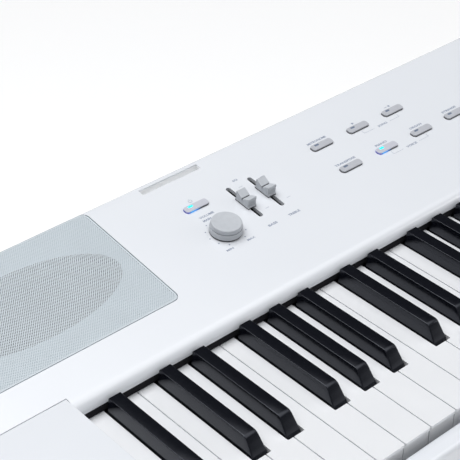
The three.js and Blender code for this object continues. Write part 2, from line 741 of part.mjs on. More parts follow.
function screwPlaces() {
  const places = [];
  for (const x of [-SCREW.x, SCREW.x]) {
    for (const y of [-SCREW.y, SCREW.y]) {
      places.push([x, y]);
    }
  }
  return places;
}

// A side board with a cleat along its top, drilled for the two screws that hold the piano.
function standSide(name, side) {
  const top = CASE_BOTTOM - GAP;
  const low = FOOT.height + GAP;
  const x = side * SIDE.x;
  const board = box(x - SIDE.thickness / 2, x + SIDE.thickness / 2, SIDE.front, SIDE.back, low, top);
  const face = SIDE.x - SIDE.thickness / 2;
  const reach = [side * (face - CLEAT.width), side * (face + OVER)].sort((a, b) => a - b);
  const under = top - CLEAT.height;
  let whole = board.add(box(...reach, SIDE.front, SIDE.back, under, top));
  for (const y of [-SCREW.y, SCREW.y]) {
    whole = whole.subtract(bar(side * SCREW.x, y, SCREW.hole, under - OVER, top + OVER, 16));
  }
  place(name, whole, standBoard);
}

function standFoot(name, side) {
  const { half, height, width, ease } = FOOT;
  const x = side * SIDE.x;
  const shape = polygon([
    [-half, 0], [half, 0], [half, height - ease], [half - ease, height],
    [-half + ease, height], [-half, height - ease],
  ]);
  place(name, run(shape, x - width / 2, x + width / 2), standBoard);
}

function standBack() {
  const half = SIDE.x - SIDE.thickness / 2 - GAP;
  const { y, thickness, low, high } = BACK_BOARD;
  place('stand_back_panel', box(-half, half, y, y + thickness, low, high), standBoard);
}

// A hand screw: five-lobed knob under the cleat, shank up into the piano's tray.
function standScrew(name, x, y) {
  const under = CASE_BOTTOM - GAP - CLEAT.height - GAP;
  const { lobes, lobeDepth, height } = SCREW_KNOB;
  const outline = [];
  const steps = 30;
  for (let k = 0; k < steps; k++) {
    const angle = k / steps * Math.PI * 2;
    const r = SCREW_KNOB.r - lobeDepth / 2 * (1 - Math.cos(lobes * angle));
    outline.push([x + r * Math.cos(angle), y + r * Math.sin(angle)]);
  }
  const knob = plan(polygon(outline), under - height, under);
  const shank = bar(x, y, SCREW.r, under - OVER, CASE_BOTTOM + SCREW.reach, 12);
  place(name, knob.add(shank), darkPlastic);
}

// ---------------------------------------------------------------- the whole piano

bottomCase();
topPanel();
endBlock('end_block_left', -1);
endBlock('end_block_right', 1);
keySlip();
keyBed();
feltStrip();
connectorPlate();
grille('speaker_grille_left', -1);
grille('speaker_grille_right', 1);
speaker('speaker_left', -1);
speaker('speaker_right', 1);
mainBoard();
volumeKnob();
fader('eq_slider_bass', FADERS.x[0], FADERS.rest[0]);
fader('eq_slider_treble', FADERS.x[1], FADERS.rest[1]);
for (const [name, [x, s]] of Object.entries(BUTTON_PLACES)) {
  button(name, x, s);
}

const allKeys = layOutKeys();
movingKeys(allKeys);
keyCombs(allKeys);

standSide('stand_side_left', -1);
standSide('stand_side_right', 1);
standFoot('stand_foot_left', -1);
standFoot('stand_foot_right', 1);
standBack();
const SCREW_NAMES = [
  'stand_screw_left_front', 'stand_screw_left_back', 'stand_screw_right_front', 'stand_screw_right_back',
];
screwPlaces().forEach(([x, y], i) => standScrew(SCREW_NAMES[i], x, y));

export default piano;
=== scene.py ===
import math

import bmesh
import bpy
from mathutils import Matrix, Vector


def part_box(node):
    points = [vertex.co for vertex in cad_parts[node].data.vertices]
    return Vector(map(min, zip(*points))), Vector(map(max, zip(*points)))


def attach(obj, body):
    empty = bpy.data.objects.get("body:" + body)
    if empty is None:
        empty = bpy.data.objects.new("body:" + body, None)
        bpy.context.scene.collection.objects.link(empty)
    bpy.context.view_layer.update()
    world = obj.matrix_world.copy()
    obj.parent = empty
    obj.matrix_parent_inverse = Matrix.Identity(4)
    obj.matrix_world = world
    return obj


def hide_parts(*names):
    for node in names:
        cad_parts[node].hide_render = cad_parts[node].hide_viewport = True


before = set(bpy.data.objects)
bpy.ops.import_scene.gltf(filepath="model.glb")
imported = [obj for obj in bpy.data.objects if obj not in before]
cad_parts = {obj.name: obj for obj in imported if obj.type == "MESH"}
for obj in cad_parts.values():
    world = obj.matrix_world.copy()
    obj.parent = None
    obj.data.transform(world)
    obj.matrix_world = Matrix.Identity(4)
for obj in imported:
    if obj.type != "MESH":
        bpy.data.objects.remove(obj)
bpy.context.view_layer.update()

# A white digital piano on its stand. Everything is in metres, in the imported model's frame:
# +X towards the treble end, +Y towards the back, +Z up from the floor. Places on the sloping panel
# are given as x and s, where s is the distance up the slope, and heights there are square to it.

MM = 0.001
CASE = "case_and_stand"

SIDES = ("left", "right")

# ---- places taken from the frame

tray_low, tray_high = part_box("bottom_case")
panel_low, panel_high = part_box("top_panel")
KEY_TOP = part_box("key_A0")[1].z
KEYS_LEFT, KEYS_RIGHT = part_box("felt_strip")[0].x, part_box("felt_strip")[1].x
KEYS_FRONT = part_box("key_A0")[0].y
KEYS_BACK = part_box("key_A0")[1].y

WALL = 3 * MM
CASE_CORNER = 12 * MM
NOSE_R = 10 * MM
NOSE_Z = KEY_TOP + 4.6 * MM
MOUTH_TOP = KEY_TOP + 6.4 * MM
PANEL_TILT = math.radians(7.5)
PANEL_ORIGIN = Vector((0, panel_low.y + NOSE_R, KEY_TOP + 14.7 * MM))
PANEL = Matrix.Translation(PANEL_ORIGIN) @ Matrix.Rotation(PANEL_TILT, 4, "X")

PITCH = 23.5 * MM
KEY_GAP = 0.9 * MM
SLOT_WIDTH = 14.3 * MM
SLOT_FRONT = panel_low.y - 97.2 * MM
BLACK_RISE = 11.35 * MM
BLACK_BASE = 12.3 * MM
BLACK_TOP = 9.5 * MM
BLACK_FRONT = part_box("key_As0")[0].y
BLACK_BACK = panel_low.y - 2.2 * MM
MOVING_KEYS = 25
KEY_COUNT = 88

# The hand screws stand at plus and minus these places, through the cleats and into the tray.
SCREW_X = 609 * MM
SCREW_Y = 85 * MM
SCREW_HOLE = 3.5 * MM


def panel_box(node):
    """A CAD node's lowest and highest corner in the panel's own axes: x, up the slope, out of it."""
    to_panel = PANEL.inverted()
    points = [to_panel @ v.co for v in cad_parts[node].data.vertices]
    low = Vector([min(p[i] for p in points) for i in range(3)])
    high = Vector([max(p[i] for p in points) for i in range(3)])
    return low, high


def panel_middle(node):
    low, high = panel_box(node)
    return (low.x + high.x) / 2, (low.y + high.y) / 2


def panel_size(node):
    low, high = panel_box(node)
    return high.x - low.x, high.y - low.y


# ---- camera, lights and floor

CAMERA_PLACE = Vector((-0.9689, -0.5585, 1.3465))
CAMERA_AZIMUTH = math.radians(40.68)
CAMERA_DROP = math.radians(34.96)
CAMERA_ROLL = math.radians(-0.74)
CAMERA_LENS = 110.9


def make_camera():
    data = bpy.data.cameras.new("camera")
    data.lens = CAMERA_LENS
    data.sensor_width = 36
    data.clip_start, data.clip_end = 0.01, 100
    camera = bpy.data.objects.new("camera", data)
    forward = Vector((
        math.sin(CAMERA_AZIMUTH) * math.cos(CAMERA_DROP),
        math.cos(CAMERA_AZIMUTH) * math.cos(CAMERA_DROP),
        -math.sin(CAMERA_DROP)))
    right = forward.cross(Vector((0, 0, 1))).normalized()
    up = right.cross(forward)
    turned_right = right * math.cos(CAMERA_ROLL) + up * math.sin(CAMERA_ROLL)
    turned_up = up * math.cos(CAMERA_ROLL) - right * math.sin(CAMERA_ROLL)
    axes = Matrix((turned_right, turned_up, -forward)).transposed()
    camera.matrix_world = Matrix.Translation(CAMERA_PLACE) @ axes.to_4x4()
    bpy.context.scene.collection.objects.link(camera)
    bpy.context.scene.camera = camera


def make_light(name, place, target, size, power):
    data = bpy.data.lights.new(name, "AREA")
    data.shape = "RECTANGLE"
    data.size, data.size_y = size
    data.energy = power
    light = bpy.data.objects.new(name, data)
    light.location = place
    light.rotation_mode = "QUATERNION"
    light.rotation_quaternion = (Vector(target) - Vector(place)).to_track_quat("-Z", "Y")
    bpy.context.scene.collection.objects.link(light)


def make_sky():
    """A white studio with a darker band part of the way up, darkest behind the piano.

    The band is what the glossy black keys mirror.
    """
    world = bpy.data.worlds.new("studio")
    world.use_nodes = True
    nodes, links = world.node_tree.nodes, world.node_tree.links
    direction = nodes.new("ShaderNodeTexCoord")
    split = nodes.new("ShaderNodeSeparateXYZ")
    links.new(direction.outputs["Generated"], split.inputs["Vector"])
    mix = nodes.new("ShaderNodeMix")
    mix.data_type = "RGBA"
    backward = nodes.new("ShaderNodeMapRange")
    backward.inputs["From Min"].default_value = -0.1
    backward.inputs["From Max"].default_value = 0.25
    links.new(split.outputs["Y"], backward.inputs["Value"])
    links.new(backward.outputs["Result"], mix.inputs["Factor"])
    fronts = [(0.0, 0.78), (0.12, 0.76), (0.25, 0.20), (0.66, 0.20), (0.84, 1.59)]
    backs = [(0.0, 0.78), (0.12, 0.74), (0.25, 0.05), (0.72, 0.05), (0.86, 1.57)]
    for socket, stops in (("A", fronts), ("B", backs)):
        ramp = nodes.new("ShaderNodeValToRGB")
        while len(ramp.color_ramp.elements) < len(stops):
            ramp.color_ramp.elements.new(0.5)
        for element, (position, value) in zip(ramp.color_ramp.elements, stops):
            element.position = position
            element.color = (value * 0.982, value * 0.988, value, 1)
        links.new(split.outputs["Z"], ramp.inputs["Fac"])
        links.new(ramp.outputs["Color"], mix.inputs[socket])
    background = nodes["Background"]
    background.inputs["Strength"].default_value = 0.93
    links.new(mix.outputs["Result"], background.inputs["Color"])
    return world


def make_studio():
    scene = bpy.context.scene
    scene.view_settings.view_transform = "Standard"
    scene.view_settings.look = "None"
    scene.world = make_sky()
    make_light("softbox_top", (-0.9, 1.1, 3.4), (-0.2, 0, 0.7), (2.6, 1.8), 50)
    make_light("softbox_right", (2.6, -1.6, 2.2), (0, 0, 0.7), (1.6, 1.6), 15)


def make_floor():
    half = 30
    mesh = bpy.data.meshes.new("floor")
    corners = [(-half, -half, 0), (half, -half, 0), (half, half, 0), (-half, half, 0)]
    mesh.from_pydata(corners, [], [(0, 1, 2, 3)])
    floor = bpy.data.objects.new("floor", mesh)
    bpy.context.scene.collection.objects.link(floor)
    mat = bpy.data.materials.new("floor_pale")
    mat.use_nodes = True
    shader = mat.node_tree.nodes["Principled BSDF"]
    shader.inputs["Base Color"].default_value = (0.985, 0.985, 0.985, 1)
    shader.inputs["Roughness"].default_value = 0.9
    shader.inputs["Specular IOR Level"].default_value = 0.1
    mesh.materials.append(mat)


make_camera()
make_studio()
make_floor()

# ---- materials


class Paint:
    """A Principled material whose nodes vary colour, roughness and bump over the surface."""

    def __init__(self, name, color, roughness, metallic=0.0, specular=0.5, coat=0.0, coat_roughness=0.05):
        self.material = bpy.data.materials.new(name)
        self.material.use_nodes = True
        self.tree = self.material.node_tree
        self.shader = self.tree.nodes["Principled BSDF"]
        self.color = color
        self.roughness = roughness
        self.set("Base Color", (*color, 1))
        self.set("Roughness", roughness)
        self.set("Metallic", metallic)
        self.set("Specular IOR Level", specular)
        self.set("Coat Weight", coat)
        self.set("Coat Roughness", coat_roughness)
        self.place = self.node("ShaderNodeTexCoord").outputs["Object"]

    def set(self, socket, value):
        self.shader.inputs[socket].default_value = value

    def node(self, kind, **settings):
        made = self.tree.nodes.new(kind)
        for name, value in settings.items():
            setattr(made, name, value)
        return made

    def link(self, output, socket):
        self.tree.links.new(output, socket)

    def noise(self, scale, detail=4.0, stretch=(1, 1, 1)):
        """Noise from 0 to 1. scale is in cells per metre, and stretch scales it along each axis."""
        mapping = self.node("ShaderNodeMapping")
        mapping.inputs["Scale"].default_value = stretch
        self.link(self.place, mapping.inputs["Vector"])
        texture = self.node("ShaderNodeTexNoise")
        texture.inputs["Scale"].default_value = scale
        texture.inputs["Detail"].default_value = detail
        self.link(mapping.outputs["Vector"], texture.inputs["Vector"])
        return texture.outputs["Fac"]

    def spread(self, value, low, high, from_low=0.3, from_high=0.7):
        """value, remapped to run between low and high."""
        remap = self.node("ShaderNodeMapRange")
        limits = {"From Min": from_low, "From Max": from_high, "To Min": low, "To Max": high}
        for socket, number in limits.items():
            remap.inputs[socket].default_value = number
        self.link(value, remap.inputs["Value"])
        return remap.outputs["Result"]

    def vary_color(self, second, *noise):
        """The base colour runs from self.color to second, by noise."""
        ramp = self.node("ShaderNodeValToRGB")
        ramp.color_ramp.elements[0].position = 0.3
        ramp.color_ramp.elements[1].position = 0.7
        ramp.color_ramp.elements[0].color = (*self.color, 1)
        ramp.color_ramp.elements[1].color = (*second, 1)
        self.link(self.noise(*noise), ramp.inputs["Fac"])
        self.link(ramp.outputs["Color"], self.shader.inputs["Base Color"])

    def vary_roughness(self, amount, *noise):
        rough = self.spread(self.noise(*noise), self.roughness - amount, self.roughness + amount)
        self.link(rough, self.shader.inputs["Roughness"])

    def bump(self, height, *noise):
        """Adds noisy relief of that height, in metres."""
        node = self.node("ShaderNodeBump")
        node.inputs["Strength"].default_value = 1.0
        node.inputs["Distance"].default_value = height
        self.link(self.noise(*noise), node.inputs["Height"])
        self.link(node.outputs["Normal"], self.shader.inputs["Normal"])


def gloss_white():
    paint = Paint("case_white", (0.785, 0.81, 0.85), 0.24, coat=1.0, coat_roughness=0.06)
    paint.set("Coat IOR", 1.6)
    paint.vary_color((0.772, 0.797, 0.838), 9)
    paint.vary_roughness(0.03, 60)
    paint.bump(0.012 * MM, 700, 2)
    return paint.material


def key_white():
    paint = Paint("key_white", (0.80, 0.812, 0.835), 0.2, coat=0.6)
    paint.vary_color((0.782, 0.795, 0.818), 30)
    paint.vary_roughness(0.05, 140)
    paint.bump(0.008 * MM, 500, 2)
    paint.set("Subsurface Weight", 0.15)
    paint.set("Subsurface Radius", (0.003, 0.003, 0.003))
    return paint.material


def key_black():
    paint = Paint("key_black", (0.0026, 0.0032, 0.0056), 0.16, specular=0.56)
    paint.set("Specular Tint", (0.84, 0.88, 1.0, 1))
    paint.vary_color((0.0045, 0.0052, 0.008), 260, 6)
    paint.vary_roughness(0.03, 900, 5)
    paint.bump(0.002 * MM, 1500, 3, (1, 0.35, 1))
    return paint.material


def control_grey(name="control_grey", color=(0.50, 0.525, 0.56)):
    paint = Paint(name, color, 0.42, specular=0.45)
    paint.vary_color(tuple(c * 0.94 for c in color), 300)
    paint.vary_roughness(0.05, 1400)
    paint.bump(0.02 * MM, 4200, 3)
    return paint.material


def grille_paint(name="grille_mesh", color=(0.565, 0.622, 0.662)):
    paint = Paint(name, color, 0.45)
    paint.vary_color(tuple(c * 0.97 for c in color), 40)
    paint.vary_roughness(0.06, 900)
    paint.bump(0.01 * MM, 5000, 2)
    return paint.material


def dark_plastic(name="dark_plastic", color=(0.022, 0.022, 0.025)):
    paint = Paint(name, color, 0.55)
    paint.vary_color(tuple(c * 1.5 for c in color), 400)
    paint.vary_roughness(0.08, 1600)
    paint.bump(0.05 * MM, 3600, 4)
    return paint.material


def paper_cone():
    paint = Paint("speaker_cone", (0.035, 0.036, 0.04), 0.8)
    paint.vary_color((0.06, 0.06, 0.065), 900, 6)
    paint.bump(0.09 * MM, 2600, 6)
    return paint.material


def felt():
    paint = Paint("black_felt", (0.006, 0.006, 0.008), 0.95, specular=0.2)
    paint.vary_color((0.02, 0.02, 0.024), 2500, 8)
    paint.bump(0.15 * MM, 4000, 8)
    return paint.material


def plated_steel():
    color = (0.55, 0.56, 0.58)
    paint = Paint("plated_steel", color, 0.32, metallic=1.0)
    paint.vary_color(tuple(c * 0.85 for c in color), 120, 5)
    paint.vary_roughness(0.08, 500, 5, (0.1, 1, 1))
    paint.bump(0.01 * MM, 1500, 4, (0.1, 1, 1))
    return paint.material


def circuit_green():
    paint = Paint("circuit_board", (0.02, 0.10, 0.05), 0.4, coat=0.4)
    paint.vary_color((0.03, 0.15, 0.07), 500, 2)
    paint.bump(0.05 * MM, 900, 3)
    return paint.material


def slot_liner():
    paint = Paint("slot_liner", (0.89, 0.90, 0.91), 0.6)
    paint.vary_color((0.86, 0.87, 0.88), 200)
    paint.bump(0.03 * MM, 2500, 3)
    return paint.material


def laminate():
    """Satin white melamine with its faint pressed grain running up the board."""
    paint = Paint("stand_board", (0.775, 0.785, 0.81), 0.42, specular=0.4)
    paint.vary_color((0.757, 0.768, 0.795), 150, 6, (1, 1, 0.03))
    paint.vary_roughness(0.06, 300, 5, (1, 1, 0.06))
    paint.bump(0.04 * MM, 900, 4, (1, 1, 0.05))
    return paint.material


def edge_band():
    paint = Paint("stand_edge", (0.72, 0.73, 0.755), 0.35)
    paint.vary_color((0.69, 0.70, 0.73), 60)
    paint.bump(0.01 * MM, 1500, 3)
    return paint.material


def printed_ink():
    paint = Paint("legend_ink", (0.24, 0.28, 0.37), 0.5)
    paint.vary_color((0.27, 0.31, 0.40), 2500)
    paint.vary_roughness(0.06, 1800)
    paint.bump(0.004 * MM, 6000, 2)
    return paint.material


def led_dark():
    paint = Paint("led_dark", (0.16, 0.20, 0.28), 0.25, coat=0.8)
    paint.vary_color((0.19, 0.23, 0.31), 1500)
    paint.vary_roughness(0.05, 1500)
    paint.bump(0.01 * MM, 2500, 2)
    return paint.material


def led_lit():
    """The window of a lit lamp, which glows evenly."""
    paint = Paint("led_lit", (0.02, 0.7, 0.8), 0.3)
    paint.vary_color((0.03, 0.8, 0.85), 1200)
    paint.vary_roughness(0.05, 1500)
    paint.bump(0.01 * MM, 2500, 2)
    paint.set("Emission Color", (0.01, 0.95, 1.0, 1))
    paint.set("Emission Strength", 1.1)
    return paint.material


WHITE = gloss_white()
WHITE_KEY = key_white()
BLACK_KEY = key_black()
GREY = control_grey()
CAP_GREY = control_grey("button_grey", (0.465, 0.48, 0.518))
GRILLE = grille_paint()
SPACER = grille_paint("grille_spacer", (0.42, 0.50, 0.545))
DARK = dark_plastic()
# Painted shade: the dark ring under the gap round each grille stands in for the shadow in that gap.
GAP_SHADE = dark_plastic("grille_gap_shade", (0.10, 0.135, 0.16))
CONE = paper_cone()
FELT = felt()
STEEL = plated_steel()
BOARD = circuit_green()
LINER = slot_liner()
LAMINATE = laminate()
EDGE = edge_band()
INK = printed_ink()
LED_DARK = led_dark()
LED_LIT = led_lit()

# ---- mesh tools


def in_mm(*points):
    """Points given in millimetres, as metres."""
    return [tuple(value * MM for value in point) for point in points]


def arc(x, y, r, start, end, steps):
    """Points of an arc, with its angles in degrees."""
    angles = [math.radians(start + (end - start) * i / steps) for i in range(steps + 1)]
    return [(x + r * math.cos(a), y + r * math.sin(a)) for a in angles]


def rounded(x, y, width, length, r, steps=6):
    """Outline of a rounded rectangle, counterclockwise."""
    left, right = x - width / 2 + r, x + width / 2 - r
    front, back = y - length / 2 + r, y + length / 2 - r
    return (arc(right, front, r, -90, 0, steps) + arc(right, back, r, 0, 90, steps)
            + arc(left, back, r, 90, 180, steps) + arc(left, front, r, 180, 270, steps))


def oval(x, y, a, b, steps=72):
    angles = [2 * math.pi * i / steps for i in range(steps)]
    return [(x + a * math.cos(angle), y + b * math.sin(angle)) for angle in angles]


def circle(x, y, r, steps):
    return oval(x, y, r, r, steps)


class Shape:
    """A mesh under construction: closed parts that are put together in one piece."""

    def __init__(self):
        self.verts = []
        self.faces = []

    def add(self, verts, faces):
        start = len(self.verts)
        self.verts += [tuple(v) for v in verts]
        self.faces += [tuple(start + i for i in f) for f in faces]
        return self

    def loft(self, rings, capped=True):
        """Skin over rings of points, each counterclockwise as seen from the side that the loft starts at."""
        count = len(rings[0])
        faces = []
        for i in range(len(rings) - 1):
            for k in range(count):
                a, b = i * count + k, i * count + (k + 1) % count
                faces.append((a, a + count, b + count, b))
        if capped:
            last = (len(rings) - 1) * count
            faces.append(tuple(range(count)))
            faces.append(tuple(last + count - 1 - k for k in range(count)))
        return self.add([p for ring in rings for p in ring], faces)

    def rise(self, outline, z0, z1):
        """A prism over an outline in x and y."""
        return self.loft([[(x, y, z1) for x, y in outline], [(x, y, z0) for x, y in outline]])

    def run(self, section, x0, x1):
        """A section in y and z, run along x."""
        return self.loft([[(x1, y, z) for y, z in section], [(x0, y, z) for y, z in section]])

    def box(self, x0, x1, y0, y1, z0, z1):
        return self.rise([(x0, y0), (x1, y0), (x1, y1), (x0, y1)], z0, z1)

    def turned(self, x, y, profile, steps):
        """A lathed solid round the z axis through x, y; profile is radius and height from its top down."""
        return self.loft([[(px, py, z) for px, py in circle(x, y, r, steps)] for r, z in profile])

    def object(self, name, place=None):
        """Makes the object; place is a matrix that moves its mesh."""
        mesh = bpy.data.meshes.new(name)
        mesh.from_pydata(self.verts, [], self.faces)
        mesh.validate()
        if place is not None:
            mesh.transform(place)
        made = bpy.data.objects.new(name, mesh)
        bpy.context.scene.collection.objects.link(made)
        return made


def ring_shape(outer, inner, z0, z1):
    """A flat ring between two outlines with as many points each."""
    count = len(outer)
    verts, faces = [], []
    for outline, z in ((outer, z1), (inner, z1), (inner, z0), (outer, z0)):
        verts += [(x, y, z) for x, y in outline]
    for level in range(4):
        for k in range(count):
            n = (k + 1) % count
            a, b = level * count, ((level + 1) % 4) * count
            faces.append((a + k, a + n, b + n, b + k))
    return Shape().add(verts, faces)


def freeze(piece):
    """Applies the piece's modifiers to its mesh."""
    graph = bpy.context.evaluated_depsgraph_get()
    mesh = bpy.data.meshes.new_from_object(piece.evaluated_get(graph))
    piece.modifiers.clear()
    piece.data = mesh
    return piece


def combine(piece, other, operation="DIFFERENCE"):
    """Cuts another object out of the piece, or joins it on, and removes the other."""
    modifier = piece.modifiers.new("carve", "BOOLEAN")
    modifier.operation = operation
    modifier.solver = "EXACT"
    modifier.object = other
    freeze(piece)
    bpy.data.objects.remove(other)
    return piece


def carve(piece, shape, operation="DIFFERENCE", place=None):
    return combine(piece, shape.object("cutter", place), operation)


def finish_piece(piece, material, slot, body=CASE, replaces=(), bevel=0.0, segments=2, angle=32):
    """Softens the edges, paints the piece and fastens it to a body."""
    piece.data.materials.clear()
    piece.data.materials.append(material)
    piece.data.polygons.foreach_set("use_smooth", [True] * len(piece.data.polygons))
    if bevel:
        modifier = piece.modifiers.new("soft_edges", "BEVEL")
        modifier.width = bevel
        modifier.segments = segments
        modifier.limit_method = "ANGLE"
        modifier.angle_limit = math.radians(angle)
        modifier.harden_normals = True
        modifier.miter_outer = "MITER_ARC"
    else:
        piece.data.set_sharp_from_angle(angle=math.radians(angle))
    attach(piece, body)
    if replaces:
        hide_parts(*replaces)


# ---- case

SPEAKER_A = 77 * MM
SPEAKER_B = 34.5 * MM
SEAT_WIDTH = 184 * MM
SEAT_LENGTH = 111.4 * MM
SEAT_DEPTH = 6.2 * MM
GRILLE_LIP = 4 * MM
FADERS = ("eq_slider_bass", "eq_slider_treble")
UPPER_BUTTONS = [f"button_upper_{i}" for i in (1, 2, 3)]
LOWER_BUTTONS = [f"button_lower_{i}" for i in (1, 2, 3, 4)]
BUTTONS = ["power_button"] + UPPER_BUTTONS + LOWER_BUTTONS
LIT_BUTTONS = ("power_button", "button_lower_2")
BUTTON_WIDTH = 21.3 * MM
BUTTON_LENGTH = 6.3 * MM
BUTTON_RISE = 1.7 * MM
SHAFT_HOLE = 3.7 * MM
SLOT_LENGTH = 40 * MM
FADER_SLOT = 4 * MM
FADER_MIDDLE = 82.1 * MM
REST_WIDTH = 55.6 * MM
REST_SLOT_LENGTH = 5.8 * MM
REST_X = 418.9 * MM
REST_Y = panel_low.y + 143.8 * MM
REST_DEPTH = 12 * MM
REST_LINER_DEPTH = 6 * MM
FIT = 0.35 * MM
CASE_ROOF = KEY_TOP + 60 * MM
CASE_FLOOR = panel_low.z - 10 * MM


def panel_height(y, inset=0.0):
    """The panel's height at y, less an inset measured square to it."""
    rise = (y - PANEL_ORIGIN.y) * math.tan(PANEL_TILT)
    return PANEL_ORIGIN.z + rise - inset / math.cos(PANEL_TILT)


def body_plan(inset=0.0):
    width, length = tray_high.x - tray_low.x, tray_high.y - tray_low.y
    middle = (tray_low.y + tray_high.y) / 2
    return rounded(0, middle, width - 2 * inset, length - 2 * inset, CASE_CORNER - inset, 10)


def upper_section(inset):
    """Side view of the upper case: back wall, slope and rounded front, counterclockwise in y and z."""
    back = panel_high.y - inset
    r = 3 * MM - inset if inset < 2 * MM else 0.5 * MM
    top = panel_height(back - r, inset)
    tilt = math.degrees(PANEL_TILT)
    low = panel_low.z - inset
    return ([(panel_low.y + inset, low), (back, low)]
            + arc(back - r, top - r, r, 0, 90 + tilt, 8)
            + arc(panel_low.y + NOSE_R, NOSE_Z, NOSE_R - inset, 90 + tilt, 180, 20))


def upper_solid(name, inset=0.0):
    """The upper case's outer form or, with an inset, the hollow inside it."""
    half = panel_high.x - inset
    solid = Shape().run(upper_section(inset), -half, half).object(name)
    return carve(solid, Shape().rise(body_plan(inset), CASE_FLOOR, CASE_ROOF), "INTERSECT")


def grille_outline(side, shrink=0.0):
    """The grille's outline with its clearance, drawn in by shrink."""
    node = f"speaker_grille_{side}"
    width, length = (size + 2 * FIT - 2 * shrink for size in panel_size(node))
    return rounded(*panel_middle(node), width, length, 6 * MM - shrink, 8)


def speaker_middle(side):
    return panel_middle(f"speaker_{side}")


def open_front(piece):
    """Opens the mouth over the keys, and cuts the front back at both ends to let the cheeks in."""
    carve(piece, Shape().box(-1, 1, tray_low.y, panel_low.y + WALL + MM, CASE_FLOOR, MOUTH_TOP))
    ends = Shape()
    for x0, x1 in ((-1, KEYS_LEFT), (KEYS_RIGHT, 1)):
        ends.box(x0, x1, tray_low.y, panel_low.y + NOSE_R + 2 * MM, CASE_FLOOR, CASE_ROOF)
    carve(piece, ends)


def rest_boxes(margin, z0, z1):
    """Boxes at the music rest's two slots, larger than the slots by a margin."""
    half_width, half_length = REST_WIDTH / 2 + margin, REST_SLOT_LENGTH / 2 + margin
    boxes = Shape()
    for x in (-REST_X, REST_X):
        boxes.box(x - half_width, x + half_width, REST_Y - half_length, REST_Y + half_length, z0, z1)
    return boxes


def add_seats(piece):
    """Thick seats under the grilles and pockets round the music rest's slots."""
    seats = Shape()
    for side in SIDES:
        x, s = speaker_middle(side)
        seats.rise(rounded(x, s - 2 * MM, SEAT_WIDTH, SEAT_LENGTH, 6 * MM), -SEAT_DEPTH, -WALL / 2)
    carve(piece, seats, "UNION", PANEL)
    top = panel_height(REST_Y)
    carve(piece, rest_boxes(WALL, top - REST_DEPTH - WALL, top - WALL), "UNION")


def cut_speaker_openings(piece):
    """For each grille: a recess, a well inside its lip and the oval hole over the loudspeaker."""
    recess, well, hole = Shape(), Shape(), Shape()
    for side in SIDES:
        recess.rise(grille_outline(side), -1.6 * MM, 2 * MM)
        well.rise(grille_outline(side, GRILLE_LIP), -3.2 * MM, 2 * MM)
        hole.rise(oval(*speaker_middle(side), SPEAKER_A, SPEAKER_B), -SEAT_DEPTH - MM, 2 * MM)
    for cutter in (recess, well, hole):
        carve(piece, cutter, place=PANEL)


def cut_control_openings(piece):
    """The knob's shaft hole, the fader slots and the button holes."""
    outlines = [circle(*panel_middle("volume_knob"), SHAFT_HOLE, 32)]
    for node in FADERS:
        x = panel_middle(node)[0]
        outlines.append(rounded(x, FADER_MIDDLE, FADER_SLOT, SLOT_LENGTH, FADER_SLOT / 2 - 0.01 * MM))
    for node in BUTTONS:
        width, length = BUTTON_WIDTH + 2 * FIT, BUTTON_LENGTH + 2 * FIT
        outlines.append(rounded(*panel_middle(node), width, length, 2.7 * MM + FIT))
    openings = Shape()
    for outline in outlines:
        openings.rise(outline, -WALL - MM, 2 * MM)
    carve(piece, openings, place=PANEL)


def make_top_panel():
    piece = upper_solid("top_panel_shell")
    combine(piece, upper_solid("hollow", WALL))
    open_front(piece)
    add_seats(piece)
    cut_speaker_openings(piece)
    cut_control_openings(piece)
    top = panel_height(REST_Y)
    carve(piece, rest_boxes(0, top - REST_DEPTH, top + WALL))
    low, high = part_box("rear_connector_panel")
    plate = Shape().box(low.x - FIT, high.x + FIT, panel_high.y - 2 * WALL, panel_high.y + WALL,
                        low.z - FIT, high.z + FIT)
    carve(piece, plate)
    finish_piece(piece, WHITE, "case_white", replaces=["top_panel"], bevel=0.35 * MM)


def make_bottom_case():
    low, top = tray_low.z, tray_high.z
    front, back = tray_low.y, tray_high.y
    section = [(front, top), (front, low + 17 * MM), (front + 14 * MM, low), (back - 11 * MM, low),
               (back, low + 14 * MM), (back, top)]
    piece = Shape().run(section, tray_low.x, tray_high.x).object("bottom_case_tray")
    carve(piece, Shape().rise(body_plan(), low - MM, top + MM), "INTERSECT")
    holes = Shape()
    for x in (-SCREW_X, SCREW_X):
        for y in (-SCREW_Y, SCREW_Y):
            holes.rise(circle(x, y, SCREW_HOLE, 24), low - MM, low + 15 * MM)
    carve(piece, holes)
    finish_piece(piece, WHITE, "case_white", replaces=["bottom_case"], bevel=1.2 * MM, segments=3)


def make_end_block(side):
    node = f"end_block_{side}"
    low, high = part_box(node)
    r = 10 * MM
    top = panel_height(high.y)
    section = ([(low.y, low.z), (high.y, low.z), (high.y, top)]
               + arc(low.y + r, top - 1.5 * MM - r, r, 90, 180, 14))
    piece = Shape().run(section, low.x, high.x).object(f"{node}_cheek")
    carve(piece, Shape().rise(body_plan(), low.z - MM, high.z + 5 * MM), "INTERSECT")
    finish_piece(piece, WHITE, "case_white", replaces=[node], bevel=0.7 * MM, segments=3)


def make_key_slip():
    """A folded rail: its front skin, its flat top and a short lip down behind."""
    low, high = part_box("key_slip")
    skin, r = 2.6 * MM, 4 * MM
    lip = high.z - 24 * MM
    section = [(low.y, low.z), (low.y + skin, low.z), (low.y + skin, high.z - r),
               (low.y + r, high.z - skin), (high.y - skin, high.z - skin), (high.y - skin, lip),
               (high.y, lip), (high.y, high.z)]
    section += arc(low.y + r, high.z - r, r, 90, 180, 10)
    piece = Shape().run(section, low.x, high.x).object("key_slip_rail")
    finish_piece(piece, WHITE, "case_white", replaces=["key_slip"], bevel=0.5 * MM)


